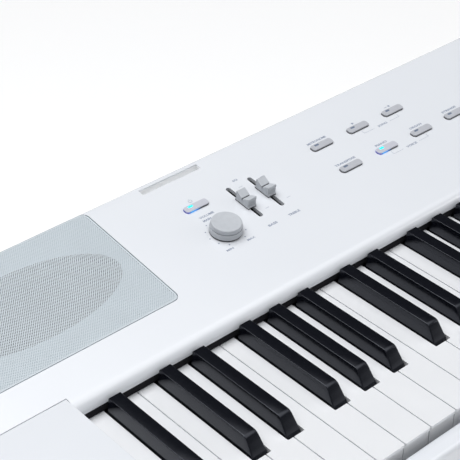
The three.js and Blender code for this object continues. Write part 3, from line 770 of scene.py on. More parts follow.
def make_rest_slot_liner(name, x):
    """A pale liner that the music rest's foot drops into."""
    top = panel_height(REST_Y)
    floor = top - REST_LINER_DEPTH
    width, length, wall = REST_WIDTH - 0.1 * MM, REST_SLOT_LENGTH - 0.1 * MM, 0.35 * MM
    outer = rounded(x, REST_Y, width, length, 0.5 * MM, 3)
    inner = rounded(x, REST_Y, width - 2 * wall, length - 2 * wall, 0.3 * MM, 3)
    liner = ring_shape(outer, inner, floor, top - 0.7 * MM).rise(inner, floor, floor + wall)
    finish_piece(liner.object(name), LINER, "case_white")


make_top_panel()
make_rest_slot_liner("rest_slot_liner_left", -REST_X)
make_rest_slot_liner("rest_slot_liner_right", REST_X)
make_bottom_case()
for end in SIDES:
    make_end_block(end)
make_key_slip()

# ---- loudspeakers

MESH_STEP = 1.82 * MM
MESH_ROW = 1.07 * MM
MESH_HOLE = (0.62 * MM, 0.47 * MM)
SHEET = 0.15 * MM


def perforated(width, length, top):
    """A sheet of staggered holes, centred on the origin; each cell shares its corners with the next rows."""
    columns = int(width / MESH_STEP)
    rows = int(length / MESH_ROW)
    step, row = width / columns, length / rows
    index = {}
    verts, faces = [], []

    def vertex(x, y, z):
        key = (round(x * 1e6), round(y * 1e6), round(z * 1e6))
        if key not in index:
            index[key] = len(verts)
            verts.append((x, y, z))
        return index[key]

    def both_sides(ring):
        faces.append([vertex(x, y, top) for x, y in ring])
        faces.append([vertex(x, y, top - SHEET) for x, y in reversed(ring)])

    def cell(x, y):
        left, right, low, high = x - step / 2, x + step / 2, y - row / 2, y + row / 2
        a, b = MESH_HOLE
        west, south, east, north = (x - a, y), (x, y - b), (x + a, y), (x, y + b)
        both_sides([(left, low), (x, low), south, west])
        both_sides([(x, low), (right, low), east, south])
        both_sides([(right, low), (right, high), east])
        both_sides([(right, high), (x, high), north, east])
        both_sides([(x, high), (left, high), west, north])
        both_sides([(left, high), (left, low), west])
        hole = [west, south, east, north]
        for k in range(4):
            p, q = hole[k], hole[(k + 1) % 4]
            corners = ((p, top), (q, top), (q, top - SHEET), (p, top - SHEET))
            faces.append([vertex(*corner, z) for corner, z in corners])

    for j in range(rows):
        y = -length / 2 + (j + 0.5) * row
        shift = 0.5 * (j % 2)
        for i in range(columns - j % 2):
            cell(-width / 2 + (i + 0.5 + shift) * step, y)
        if j % 2:
            for x in (-width / 2, width / 2 - step / 2):
                both_sides([(x, y - row / 2), (x + step / 2, y - row / 2),
                            (x + step / 2, y + row / 2), (x, y + row / 2)])
    return Shape().add(verts, faces)


def make_grille(side):
    """The grille: a solid rim, the perforated sheet inside it and a dark ring round both, which is painted
    shade standing in for the shadow in the gap between grille and panel.
    """
    node = f"speaker_grille_{side}"
    x, s = panel_middle(node)
    width, length = panel_size(node)

    def outline(shrink, r):
        return rounded(x, s, width - 2 * shrink, length - 2 * shrink, r, 8)

    rim_width, seam = 1.6 * MM, 0.3 * MM
    rim = ring_shape(outline(seam, 5.4 * MM), outline(rim_width, 4.2 * MM), -1.4 * MM, -0.08 * MM)
    sheet = perforated(width - 2 * MM, length - 2 * MM, -0.22 * MM)
    # A dark ring under the gap round the grille: painted shade for the shadow in that gap.
    gap_shade = ring_shape(outline(-0.25 * MM, 5.9 * MM), outline(MM, 4.8 * MM), -1.5 * MM, -0.6 * MM)
    centred = PANEL @ Matrix.Translation((x, s, 0))
    for part, shape, material, place, bevel in (
            ("rim", rim, GRILLE, PANEL, 0.15 * MM), ("mesh", sheet, GRILLE, centred, 0),
            ("gap_shade", gap_shade, GAP_SHADE, PANEL, 0)):
        piece = shape.object(f"{node}_{part}", place)
        finish_piece(piece, material, "grille_mesh", replaces=[node], bevel=bevel)


def make_grille_backing(side):
    """A pale spacer just under the mesh, and a dark collar that lines the hole over the loudspeaker."""
    node = f"speaker_grille_{side}"
    x, s = panel_middle(node)
    width, length = panel_size(node)

    def hole(shrink):
        return oval(*speaker_middle(side), SPEAKER_A - shrink, SPEAKER_B - shrink)

    lip = rounded(x, s, width - 3.5 * MM, length - 3.5 * MM, 4 * MM, 6)
    block = rounded(x, s, width - 9 * MM, length - 9 * MM, 2 * MM, 4)
    spacer = Shape().rise(lip, -1.4 * MM, -0.45 * MM).object(f"{node}_spacer")
    carve(spacer, Shape().rise(block, -2.9 * MM, -MM), "UNION")
    carve(spacer, Shape().rise(hole(0.2 * MM), -4 * MM, 2 * MM))
    spacer.data.transform(PANEL)
    finish_piece(spacer, SPACER, "grille_mesh", bevel=0.15 * MM)
    collar = ring_shape(hole(0.3 * MM), hole(1.2 * MM), -6.1 * MM, -0.5 * MM)
    finish_piece(collar.object(f"{node}_collar", PANEL), DARK, "speaker_black")


def make_speaker(side):
    """The driver: flange, rolled surround, ribbed cone, dust cap, and basket with its magnet."""
    node = f"speaker_{side}"
    x, s = speaker_middle(side)
    low, high = panel_box(node)
    top, bottom = high.z, low.z

    def ring(a, b, z):
        return [(px, ps, z) for px, ps in oval(x, s, a, b)]

    def outer_ring(inset, z):
        return ring(SPEAKER_A + 8 * MM - inset, SPEAKER_B + 7 * MM - inset, z)

    flange = [outer_ring(10 * MM, top - 3 * MM), outer_ring(10 * MM, top), outer_ring(0, top),
              outer_ring(0, top - 3 * MM)]
    roll = []
    for k in range(13):
        angle = math.pi * k / 12
        inset = 10 * MM + 4 * MM * (1 - math.cos(angle))
        roll.append(outer_ring(inset, top - 2 * MM + 3.5 * MM * math.sin(angle)))
    cone = []
    for k in range(24):
        t = k / 23
        ripple = 0.25 * MM * math.sin(k * 2.1)
        a, b = (SPEAKER_A - 10 * MM) * (1 - 0.72 * t), (SPEAKER_B - 11 * MM) * (1 - 0.5 * t)
        cone.append(ring(a, b, top - 2 * MM - 13 * MM * t ** 0.8 + ripple))
    cap = [(0.3 * MM, top - 7 * MM)]
    for k in range(1, 9):
        angle = math.pi / 2 * k / 8
        cap.append((20 * MM * math.sin(angle), top - 13 * MM + 6 * MM * math.cos(angle)))
    magnet = [(24 * MM, bottom + 20 * MM), (27 * MM, bottom + 18 * MM), (27 * MM, bottom + 2 * MM),
              (25 * MM, bottom)]
    basket = [ring(SPEAKER_A - 5 * MM, SPEAKER_B - 4 * MM, top - 3 * MM),
              ring(SPEAKER_A - 12 * MM, SPEAKER_B - 7 * MM, top - 3 * MM - 5 * MM),
              ring(31 * MM, 20 * MM, bottom + 20 * MM)]
    for part, shape, material in (
            ("flange", Shape().loft(flange, capped=False), DARK),
            ("surround", Shape().loft(roll, capped=False), DARK),
            ("cone", Shape().loft(cone, capped=False), CONE),
            ("dust_cap", Shape().turned(x, s, cap, 48), CONE),
            ("basket", Shape().turned(x, s, magnet, 48).loft(basket, capped=False), STEEL)):
        finish_piece(shape.object(f"{node}_{part}", PANEL), material, "speaker_black", replaces=[node])


for end in SIDES:
    make_grille(end)
    make_grille_backing(end)
    make_speaker(end)

# ---- controls

LED_PLACE = (-4.4 * MM, 1.4 * MM)
LED_WIDTH = 4.4 * MM
LED_LENGTH = 1.9 * MM
SKIRT_TOP = 0.8 * MM


def on_panel(shape, name, x, s):
    """An object made of shape, with its own axes at x, s on the panel and square to it."""
    piece = shape.object(name)
    piece.matrix_world = PANEL @ Matrix.Translation((x, s, 0))
    return piece


def make_knob():
    """Volume knob: turned cap with an eased rim and a fine groove low on its side, on its shaft, with a dark
    ring of painted shade round its base.
    """
    node = "volume_knob"
    x, s = panel_middle(node)
    base, top = 0.35 * MM, panel_box(node)[1].z
    axis = 0.01 * MM
    profile = [(axis, top - 0.15 * MM), (9.3 * MM, top - 0.15 * MM), (10.0 * MM, top - 0.02 * MM)]
    profile += arc(10.6 * MM, top - 0.9 * MM, 0.9 * MM, 90, 6, 8)
    # The side, in millimetres: the radius, and the height above the base.
    side = [(11.8, 6.0), (11.7, 5.7), (11.1, 5.6), (11.1, 5.1), (12.0, 5.0), (12.25, 4.6), (12.5, 1.1),
            (12.2, 0.8), (12.0, 0.8), (3.2, 0.8)]
    profile += [(r, base + z) for r, z in in_mm(*side)]
    profile += [(3.2 * MM, -9 * MM), (axis, -9 * MM)]
    knob = on_panel(Shape().turned(0, 0, profile, 96), "volume_knob_cap", x, s)
    finish_piece(knob, GREY, "control_grey", node, [node], angle=28)
    # A dark ring round the knob's base: painted shade, standing in for the shadow gap under the knob.
    profile = [(12.3 * MM, base + 0.9 * MM), (12.35 * MM, base + 0.2 * MM), (12.1 * MM, base)]
    foot = on_panel(Shape().turned(0, 0, profile, 96), "volume_knob_shade_ring", x, s)
    finish_piece(foot, DARK, "control_grey", node)


def make_fader(node):
    """Fader cap: two finger humps and a dark groove across the middle."""
    x, s = panel_middle(node)
    wide, half = (size / 2 for size in panel_size(node))
    foot, plinth, valley, hump = 1.0 * MM, 1.9 * MM, 6.1 * MM, 9.1 * MM

    # One finger hump: up the ribbed end, over the top and down to the middle groove.
    slope = [(half, foot), (half, plinth), (half - 0.9 * MM, plinth + 0.1 * MM)]
    crest = half - 0.8 * MM
    for rib in (3.2 * MM, 4.7 * MM, 6.2 * MM):
        slope += [(crest, rib - 0.4 * MM), (half - 1.3 * MM, rib), (crest, rib + 0.4 * MM)]
    slope += arc(half - 1.6 * MM, hump - 0.7 * MM, 0.7 * MM, 5, 65, 4)
    slope += [(0.5 * MM, valley), (0.45 * MM, valley - 2.2 * MM)]
    section = slope + [(-y, z) for y, z in slope[::-1]]
    cap = on_panel(Shape().run(section, -wide, wide), f"{node}_cap", x, s)
    finish_piece(cap, GREY, "control_grey", node, [node], bevel=0.2 * MM, angle=40)
    # One dark part for the bottom of the groove and the foot under the cap; the dark foot is painted shade,
    # standing in for the shadow under the cap.
    line, inset, rim = Shape(), 0.9 * MM, 0.15 * MM
    line.box(-wide + inset, wide - inset, -0.5 * MM, 0.5 * MM, valley - 2.1 * MM, valley - 0.3 * MM)
    line.box(-wide + rim, wide - rim, -half + rim, half - rim, rim, foot + 0.1 * MM)
    line = on_panel(line, f"{node}_groove", x, s)
    finish_piece(line, DARK, "control_grey", node, bevel=0.06 * MM)
    blade = Shape().box(-1.4 * MM, 1.4 * MM, -3.4 * MM, 3.4 * MM, -8 * MM, 1.5 * MM)
    finish_piece(on_panel(blade, f"{node}_blade", x, s), DARK, "control_grey", node, bevel=0.1 * MM)


def make_fader_well(node):
    """Dust tray under a fader's slot: black inside, so the slot reads as a dark line."""
    x = panel_middle(node)[0]
    floor, top, half_wall = -9.4 * MM, -WALL - 0.05 * MM, 0.4 * MM
    left, right = x - 3 * MM, x + 3 * MM
    front, back = FADER_MIDDLE - 21 * MM, FADER_MIDDLE + 21 * MM
    well = Shape().box(left, right, front, back, floor, floor + 2 * half_wall)
    for side, end in ((left, front), (right, back)):
        well.box(side - half_wall, side + half_wall, front, back, floor, top)
        well.box(left, right, end - half_wall, end + half_wall, floor, top)
    finish_piece(well.object(f"{node}_well", PANEL), FELT, "dark_plastic", bevel=0.1 * MM)


def lit_button_paint(name, color, second, fade):
    """Button plastic with blue light leaking out near the lamp; fade is the heights it dies away between."""
    paint = Paint(name, color, 0.42, specular=0.45)
    paint.vary_color(second, 300)
    paint.bump(0.02 * MM, 4200, 3)
    split = paint.node("ShaderNodeSeparateXYZ")
    paint.link(paint.place, split.inputs["Vector"])
    along = paint.spread(split.outputs["X"], 0, 1, -BUTTON_WIDTH / 2, 2 * MM)
    ramp = paint.node("ShaderNodeValToRGB")
    ramp.color_ramp.elements[0].color = (0.035, 0.035, 0.33, 1)
    ramp.color_ramp.elements[1].color = (0, 0, 0, 1)
    blues = {0.12: (0.035, 0.06, 0.5), 0.35: (0.02, 0.42, 1.0), 0.62: (0.03, 0.30, 0.9)}
    for position, blue in blues.items():
        ramp.color_ramp.elements.new(position).color = (*blue, 1)
    paint.link(along, ramp.inputs["Fac"])
    side = paint.spread(split.outputs["Z"], 1, 0, *fade)
    glow = paint.node("ShaderNodeMix", data_type="RGBA")
    glow.inputs["A"].default_value = (0, 0, 0, 1)
    paint.link(side, glow.inputs["Factor"])
    paint.link(ramp.outputs["Color"], glow.inputs["B"])
    paint.link(glow.outputs["Result"], paint.shader.inputs["Emission Color"])
    paint.set("Emission Strength", 0.8)
    return paint.material


GREY_LIT = lit_button_paint("button_grey_lit", (0.535, 0.545, 0.60), (0.50, 0.51, 0.565),
                            (BUTTON_RISE * 0.6, BUTTON_RISE * 0.95))
# The skirts' dark colour is painted shade at the buttons' base; the lit skirt also carries the lamp's blue
# glow.
SHADE_SKIRT_LIT = lit_button_paint("button_skirt_shade_lit", (0.13, 0.13, 0.135), (0.16, 0.16, 0.165),
                             (BUTTON_RISE, BUTTON_RISE * 2))
SHADE_SKIRT = dark_plastic("button_skirt_shade", (0.13, 0.13, 0.132))


def make_button(node):
    """Push button: rounded cap with a lamp window let into its top, on a skirt with a flange; both are dark,
    painted shade standing in for the shadow round the button's base and in its gap.
    """
    x, s = panel_middle(node)
    lit = node in LIT_BUTTONS

    def lamp_outline(shrink, r):
        return rounded(*LED_PLACE, LED_WIDTH - shrink, LED_LENGTH - shrink, r, 4)

    cap = Shape().rise(rounded(0, 0, BUTTON_WIDTH, BUTTON_LENGTH, 2.1 * MM, 8), SKIRT_TOP, BUTTON_RISE)
    cap = cap.object(f"{node}_cap")
    carve(cap, Shape().rise(lamp_outline(0, 0.7 * MM), BUTTON_RISE - 0.35 * MM, BUTTON_RISE + MM))
    cap.matrix_world = PANEL @ Matrix.Translation((x, s, 0))
    paint = GREY_LIT if lit else CAP_GREY
    finish_piece(cap, paint, "control_grey", node, [node], bevel=0.35 * MM, segments=3, angle=50)
    # The skirt's dark colour is painted shade, the shadow line round the button's base.
    skirt = rounded(0, 0, BUTTON_WIDTH - 0.2 * MM, BUTTON_LENGTH - 0.2 * MM, 2.0 * MM, 8)
    skirt = on_panel(Shape().rise(skirt, -7 * MM, SKIRT_TOP + 0.1 * MM), f"{node}_skirt", x, s)
    finish_piece(skirt, SHADE_SKIRT_LIT if lit else SHADE_SKIRT, "control_grey", node, bevel=0.1 * MM, angle=50)
    lamp = Shape().rise(lamp_outline(0.1 * MM, 0.6 * MM), BUTTON_RISE - 0.5 * MM, BUTTON_RISE - 0.08 * MM)
    lamp = on_panel(lamp, f"{node}_lamp", x, s)
    finish_piece(lamp, LED_LIT if lit else LED_DARK, "control_grey", node, bevel=0.12 * MM)
    # The dark flange under the gap is painted shade, so the gap round the button reads as shadow.
    half_width, half_length = BUTTON_WIDTH / 2 + MM, BUTTON_LENGTH / 2 + MM
    flange = Shape().box(-half_width, half_width, -half_length, half_length, -5.2 * MM, -3.4 * MM)
    flange = on_panel(flange, f"{node}_flange", x, s)
    finish_piece(flange, SHADE_SKIRT, "control_grey", node, bevel=0.2 * MM)


make_knob()
for fader_node in FADERS:
    make_fader(fader_node)
    make_fader_well(fader_node)
for button_node in BUTTONS:
    make_button(button_node)

# ---- printed legends

PRINT_LIFT = 0.05 * MM
PRINT_DEPTH = 0.03 * MM
CAPITALS = 2.2


class Legends:
    """Thin printed words and signs on the panel, gathered in one mesh."""

    def __init__(self):
        self.mesh = bmesh.new()

    def add_shape(self, shape, x, s):
        made = shape.object("legend")
        self.take(made, Matrix.Translation((x, s, PRINT_LIFT)))

    def take(self, made, place):
        graph = bpy.context.evaluated_depsgraph_get()
        mesh = bpy.data.meshes.new_from_object(made.evaluated_get(graph))
        mesh.transform(PANEL @ place)
        self.mesh.from_mesh(mesh)
        bpy.data.objects.remove(made)
        bpy.data.meshes.remove(mesh)

    def word(self, text, x, s, width, height=CAPITALS * MM):
        """A word centred on x, s, set to a given width and capital height."""
        curve = bpy.data.curves.new("word", "FONT")
        curve.body = text
        curve.align_x, curve.align_y = "CENTER", "CENTER"
        curve.resolution_u = 3
        curve.offset = 0.03
        made = bpy.data.objects.new("word", curve)
        bpy.context.scene.collection.objects.link(made)
        bpy.context.view_layer.update()
        size = made.dimensions
        curve.extrude = PRINT_DEPTH / 2 / (height / size.y)
        scale = Matrix.Diagonal((width / size.x, height / size.y, height / size.y, 1))
        self.take(made, Matrix.Translation((x, s, PRINT_LIFT)) @ scale)

    def bar(self, x, s, width, length):
        self.add_shape(Shape().box(-width / 2, width / 2, -length / 2, length / 2, 0, PRINT_DEPTH), x, s)

    def dot(self, x, s, r):
        self.add_shape(Shape().rise(circle(0, 0, r, 16), 0, PRINT_DEPTH), x, s)

    def open_ring(self, x, s, r, line, start, end):
        inner, outer = arc(0, 0, r - line, start, end, 28), arc(0, 0, r, start, end, 28)
        self.add_shape(Shape().rise(outer + inner[::-1], 0, PRINT_DEPTH), x, s)

    def object(self, name):
        mesh = bpy.data.meshes.new(name)
        self.mesh.to_mesh(mesh)
        made = bpy.data.objects.new(name, mesh)
        bpy.context.scene.collection.objects.link(made)
        return made


def print_legends():
    legends = Legends()
    line = 0.28 * MM
    # Knob: a ring of dots from the lower left round to the lower right, with its words.
    x, s = panel_middle("volume_knob")
    for dot_x, dot_s in arc(x, s, 14.9 * MM, 240, -60, 10):
        legends.dot(dot_x, dot_s, 0.55 * MM)
    for text, dx, ds, width, height in (
            ("MIN", -10.4, -17.1, 6.2, 1.8), ("MAX", 9.6, -17.1, 7.2, 1.8),
            ("VOLUME", 0.4, 21.7, 13.6, CAPITALS), ("MAIN", -2.6, 17.5, 7.6, CAPITALS)):
        legends.word(text, x + dx * MM, s + ds * MM, width * MM, height * MM)
    # Power symbol above its button.
    x, s = panel_middle("power_button")
    legends.open_ring(x + 0.6 * MM, s + 7.6 * MM, 1.6 * MM, line, 120, 420)
    legends.bar(x + 0.6 * MM, s + 9.0 * MM, line, 1.8 * MM)
    # Faders.
    middle = FADER_MIDDLE
    bass, treble = (panel_middle(node)[0] for node in FADERS)
    legends.word("EQ", (bass + treble) / 2 + 0.4 * MM, middle + 23.4 * MM, 4.4 * MM)
    legends.word("BASS", bass + 0.4 * MM, middle - 31.4 * MM, 8.4 * MM)
    legends.word("TREBLE", treble + 0.6 * MM, middle - 31.2 * MM, 11 * MM)
    for x in (bass + 9.6 * MM, treble + 9.6 * MM):
        for step in (-15 * MM, 0, 15 * MM):
            legends.bar(x, middle + step, 3.6 * MM, line)
    # Buttons.
    names = {
        "button_upper_1": ("METRONOME", 20 * MM), "button_lower_1": ("TRANSPOSE", 21.5 * MM),
        "button_lower_2": ("PIANO", 12.5 * MM), "button_lower_3": ("ORGAN", 13.5 * MM),
        "button_lower_4": ("STRINGS", 16.5 * MM),
    }
    for node, (text, width) in names.items():
        x, s = panel_middle(node)
        legends.word(text, x + 0.9 * MM, s + 7.0 * MM, width)
    x, s = panel_middle("button_upper_2")
    play = in_mm((-1.2, -1.3), (1.3, 0), (-1.2, 1.3))
    legends.add_shape(Shape().rise(play, 0, PRINT_DEPTH), x + 1.2 * MM, s + 6.9 * MM)
    x, s = panel_middle("button_upper_3")
    legends.dot(x + 2.9 * MM, s + 6.8 * MM, 1.0 * MM)
    legends.bar(x - 0.6 * MM, s + 6.8 * MM, 2.6 * MM, 0.5 * MM)
    # Brackets that pair the two middle columns.
    for row, text, width in (("upper", "SONG", 10 * MM), ("lower", "VOICE", 11.5 * MM)):
        left, s = panel_middle(f"button_{row}_2")
        right = panel_middle(f"button_{row}_3")[0]
        centre = (left + right) / 2
        low = s - 8.3 * MM
        legends.word(text, centre + 0.6 * MM, low, width)
        reach = 11 * MM
        for sign, x in ((1, left), (-1, right)):
            legends.bar(x + sign * reach / 2, low, reach, 0.2 * MM)
            legends.bar(x, low + 1.6 * MM, 0.2 * MM, 3.2 * MM)
    finish_piece(legends.object("panel_legends"), INK, "dark_plastic")


print_legends()

# ---- keys

NOTES = ("A", "As", "B", "C", "Cs", "D", "Ds", "E", "F", "Fs", "G", "Gs")
BLACK_SHIFT = {"As": 3.5 * MM, "Cs": -2.4 * MM, "Ds": 2.4 * MM, "Fs": -3.5 * MM, "Gs": 0.0}
NOSING = 1.4 * MM
KEY_HEIGHT = 20 * MM


def lay_out_keys():
    """Every key from left to right: its name, whether it is black, and its left edge or middle."""
    keys, whites = [], 0
    for i in range(KEY_COUNT):
        note = NOTES[i % 12]
        name = f"key_{note}{(i + 9) // 12}"
        x = KEYS_LEFT + whites * PITCH
        if note in BLACK_SHIFT:
            keys.append((name, True, x + BLACK_SHIFT[note]))
        else:
            keys.append((name, False, x))
            whites += 1
    return keys


def finish_key(piece, i, material, slot, comb, **edges):
    """A moving key rides its own body; the others belong to the fixed comb of their colour."""
    name = all_keys[i][0]
    body, node = (name, name) if i < MOVING_KEYS else (CASE, comb)
    finish_piece(piece, material, slot, body, [node], **edges)


def make_white_key(i):
    name, _, x = all_keys[i]
    left, right = x + KEY_GAP / 2, x + PITCH - KEY_GAP / 2
    tail_left, tail_right = left, right
    if i > 0 and all_keys[i - 1][1]:
        tail_left = all_keys[i - 1][2] + SLOT_WIDTH / 2
    if i < KEY_COUNT - 1 and all_keys[i + 1][1]:
        tail_right = all_keys[i + 1][2] - SLOT_WIDTH / 2
    r = 1.0 * MM
    outline = arc(left + r, KEYS_FRONT + r, r, 180, 270, 4)
    outline += arc(right - r, KEYS_FRONT + r, r, 270, 360, 4)
    if tail_right < right:
        outline += [(right, SLOT_FRONT)]
        outline += arc(tail_right + r, SLOT_FRONT + r, r, 270, 180, 4)
    outline += [(tail_right, KEYS_BACK), (tail_left, KEYS_BACK)]
    if tail_left > left:
        outline += arc(tail_left - r, SLOT_FRONT + r, r, 0, -90, 4)
        outline += [(left, SLOT_FRONT)]
    skirt = [(px, max(py, KEYS_FRONT + NOSING)) for px, py in outline]
    levels = ((outline, 0), (outline, 2.4 * MM), (skirt, 3.0 * MM), (skirt, KEY_HEIGHT))
    shape = Shape().loft([[(px, py, KEY_TOP - drop) for px, py in level] for level, drop in levels])
    if i < KEY_COUNT - 1:
        # A low rib on the right side half closes the gap to the next key.
        rib_end = KEYS_BACK if tail_right == right else SLOT_FRONT
        shape.box(right - 0.5 * MM, right + 0.72 * MM, KEYS_FRONT + 3 * MM, rib_end - MM,
                  KEY_TOP - 7 * MM, KEY_TOP - 1.6 * MM)
    finish_key(shape.object(f"{name}_top"), i, WHITE_KEY, "key_white", "white_keys_B2_to_C8",
               bevel=0.5 * MM, segments=3, angle=40)


def make_black_key(i):
    name, _, x = all_keys[i]
    half_base, half_top = BLACK_BASE / 2, BLACK_TOP / 2
    low = KEY_TOP - 16 * MM

    def section(y, rise, r):
        half = half_base - (half_base - half_top) * max(rise, 0) / BLACK_RISE
        top = KEY_TOP + rise
        shoulder = min(KEY_TOP, top - r - 0.2 * MM)
        right = arc(x + half - r, top - r, r, 8, 90, 5)
        left = [(2 * x - px, pz) for px, pz in right[::-1]]
        points = [(x - half_base, low), (x + half_base, low), (x + half_base, shoulder)]
        points += right + left + [(x - half_base, shoulder)]
        return [(px, y, pz) for px, pz in points[::-1]]

    # In millimetres: the distance from one end, the height over the white keys, and the rounding of
    # the top edges.
    from_front = [(0, -5.5, 1.0), (0.6, -3, 1.2), (2, 0, 1.3), (4, 3.1, 1.3), (6, 6.2, 1.2), (8, 9.3, 1.0),
                  (8.7, 10.2, 0.9), (9.5, 10.85, 0.8), (10.4, 11.2, 0.6), (11.6, 11.35, 0.45),
                  (30, 11.35, 0.35), (86, 11.35, 0.35)]
    from_back = [(0.7, 11.35, 0.35), (0.15, 11.25, 0.45), (0, 11.0, 0.6)]
    stations = [(BLACK_FRONT + y, rise, r) for y, rise, r in in_mm(*from_front)]
    stations += [(BLACK_BACK - y, rise, r) for y, rise, r in in_mm(*from_back)]
    shape = Shape().loft([section(*station) for station in stations])
    shape.box(x - 4.6 * MM, x + 4.6 * MM, BLACK_BACK - MM, KEYS_BACK, KEY_TOP - 10.5 * MM, KEY_TOP - 2 * MM)
    finish_key(shape.object(f"{name}_top"), i, BLACK_KEY, "key_black", "black_keys_As2_to_As7", angle=34)


all_keys = lay_out_keys()
for number, (_, is_black, _) in enumerate(all_keys):
    if is_black:
        make_black_key(number)
    else:
        make_white_key(number)

# ---- connectors at the back and screws

JACKS = (20 * MM, 45 * MM, 70 * MM)
INLET = -80 * MM
DATA_SOCKET = -35 * MM


def facing(degrees, x, y, z, axis="X"):
    """The place of a shape made along +z: turned about an axis, then moved to x, y, z."""
    return Matrix.Translation((x, y, z)) @ Matrix.Rotation(math.radians(degrees), 4, axis)


def tube(r_outer, r_inner, z0, z1):
    return ring_shape(circle(0, 0, r_outer, 40), circle(0, 0, r_inner, 40), z0, z1)


def make_screw_head(name, place):
    """A cross-head screw, 6 mm across."""
    profile = in_mm((0.3, 1.3), (1.6, 1.15), (2.5, 0.7), (3, 0), (1.4, -0.4))
    piece = Shape().turned(0, 0, profile, 32).object(name)
    cross = Shape()
    cross.box(-1.5 * MM, 1.5 * MM, -0.3 * MM, 0.3 * MM, 0.5 * MM, 2 * MM)
    cross.box(-0.3 * MM, 0.3 * MM, -1.5 * MM, 1.5 * MM, 0.45 * MM, 2 * MM)
    carve(piece, cross)
    piece.data.transform(place)
    finish_piece(piece, STEEL, "dark_plastic")


def make_rear_plate():
    """The connector plate with a hole for each socket, held by two screws."""
    node = "rear_connector_panel"
    low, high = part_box(node)
    width, height, thickness = high.x - low.x, high.z - low.z, 2.5 * MM
    place = facing(-90, 0, high.y, (low.z + high.z) / 2)
    plate = Shape().rise(rounded(0, 0, width, height, 2 * MM), -thickness, 0).object("rear_plate", place)
    outlines = [circle(x, 0, 4.6 * MM, 40) for x in JACKS]
    outlines += [circle(INLET, 0, 5.6 * MM, 40), rounded(DATA_SOCKET, 0, 12.6 * MM, 11.4 * MM, 0.6 * MM)]
    holes = Shape()
    for outline in outlines:
        holes.rise(outline, -thickness - MM, MM)
    carve(plate, holes, place=place)
    finish_piece(plate, DARK, "dark_plastic", replaces=[node], bevel=0.4 * MM)


def make_rear_connectors():
    """Three jacks, the power inlet with its pin, and the data socket with its tongue."""
    low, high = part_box("rear_connector_panel")
    middle = (low.z + high.z) / 2
    parts = []
    for x in JACKS:
        parts.append((x, "jack_bush", tube(4.5 * MM, 2.9 * MM, -3 * MM, 0.6 * MM), STEEL, 0.2))
        parts.append((x, "jack_barrel", tube(4.4 * MM, 1.85 * MM, -13.5 * MM, -0.6 * MM), DARK, 0.15))
    parts.append((INLET, "inlet_body", tube(5.5 * MM, 3.1 * MM, -13.5 * MM, 0.3 * MM), DARK, 0.2))
    pin = in_mm((0.05, -3), (0.8, -3.2), (1.1, -3.8), (1.1, -13))
    parts.append((INLET, "inlet_pin", Shape().turned(0, 0, pin, 24), STEEL, 0))
    outer = rounded(0, 0, 12 * MM, 10.8 * MM, 0.8 * MM)
    inner = rounded(0, 0, 8.4 * MM, 7.8 * MM, 0.4 * MM)
    shell = ring_shape(outer, inner, -13 * MM, 0.5 * MM)
    parts.append((DATA_SOCKET, "data_socket_shell", shell, STEEL, 0.2))
    tongue = Shape().box(-2.8 * MM, 2.8 * MM, -1.2 * MM, 1.2 * MM, -13 * MM, -2 * MM)
    parts.append((DATA_SOCKET, "data_socket_tongue", tongue, DARK, 0.2))
    for x, name, shape, material, bevel in parts:
        piece = shape.object(name, facing(-90, x, high.y, middle))
        finish_piece(piece, material, "dark_plastic", bevel=bevel * MM)
    for x in (low.x + 7 * MM, high.x - 7 * MM):
        make_screw_head("rear_plate_screw", facing(-90, x, high.y + 0.05 * MM, middle))


def make_case_screws():
    """Screws that hold the two case halves, in a row along the back and two rows underneath."""
    for x in (-520 * MM, -300 * MM, 300 * MM, 520 * MM):
        make_screw_head("case_screw_back", facing(-90, x, panel_high.y + 0.05 * MM, 688 * MM))
    for x in (-560 * MM, -280 * MM, 0, 280 * MM, 560 * MM):
        for y in (-110 * MM, 120 * MM):
            make_screw_head("case_screw_under", facing(180, x, y, tray_low.z - 0.05 * MM))


make_rear_plate()
make_rear_connectors()
make_case_screws()

# ---- stand

BAND = 0.4 * MM
BOARD_THICKNESS = 22 * MM
CLEAT_HEIGHT = 20 * MM


def make_band(name, x0, x1, y0, y1, z0, z1):
    """A thin edge band glued along a board."""
    band = Shape().box(x0, x1, y0, y1, z0, z1).object(name)
    finish_piece(band, EDGE, "stand_board", bevel=0.12 * MM)


def make_cover_cap(name, x, y, z, turn):
    """A shallow domed plastic cap over a bolt."""
    profile = in_mm((0.05, 1), (3, 0.95), (5.4, 0.7), (6.3, 0.3), (6.5, 0), (5, -0.3))
    piece = Shape().turned(0, 0, profile, 40).object(name, facing(turn, x, y, z, "Y"))
    finish_piece(piece, EDGE, "stand_board")


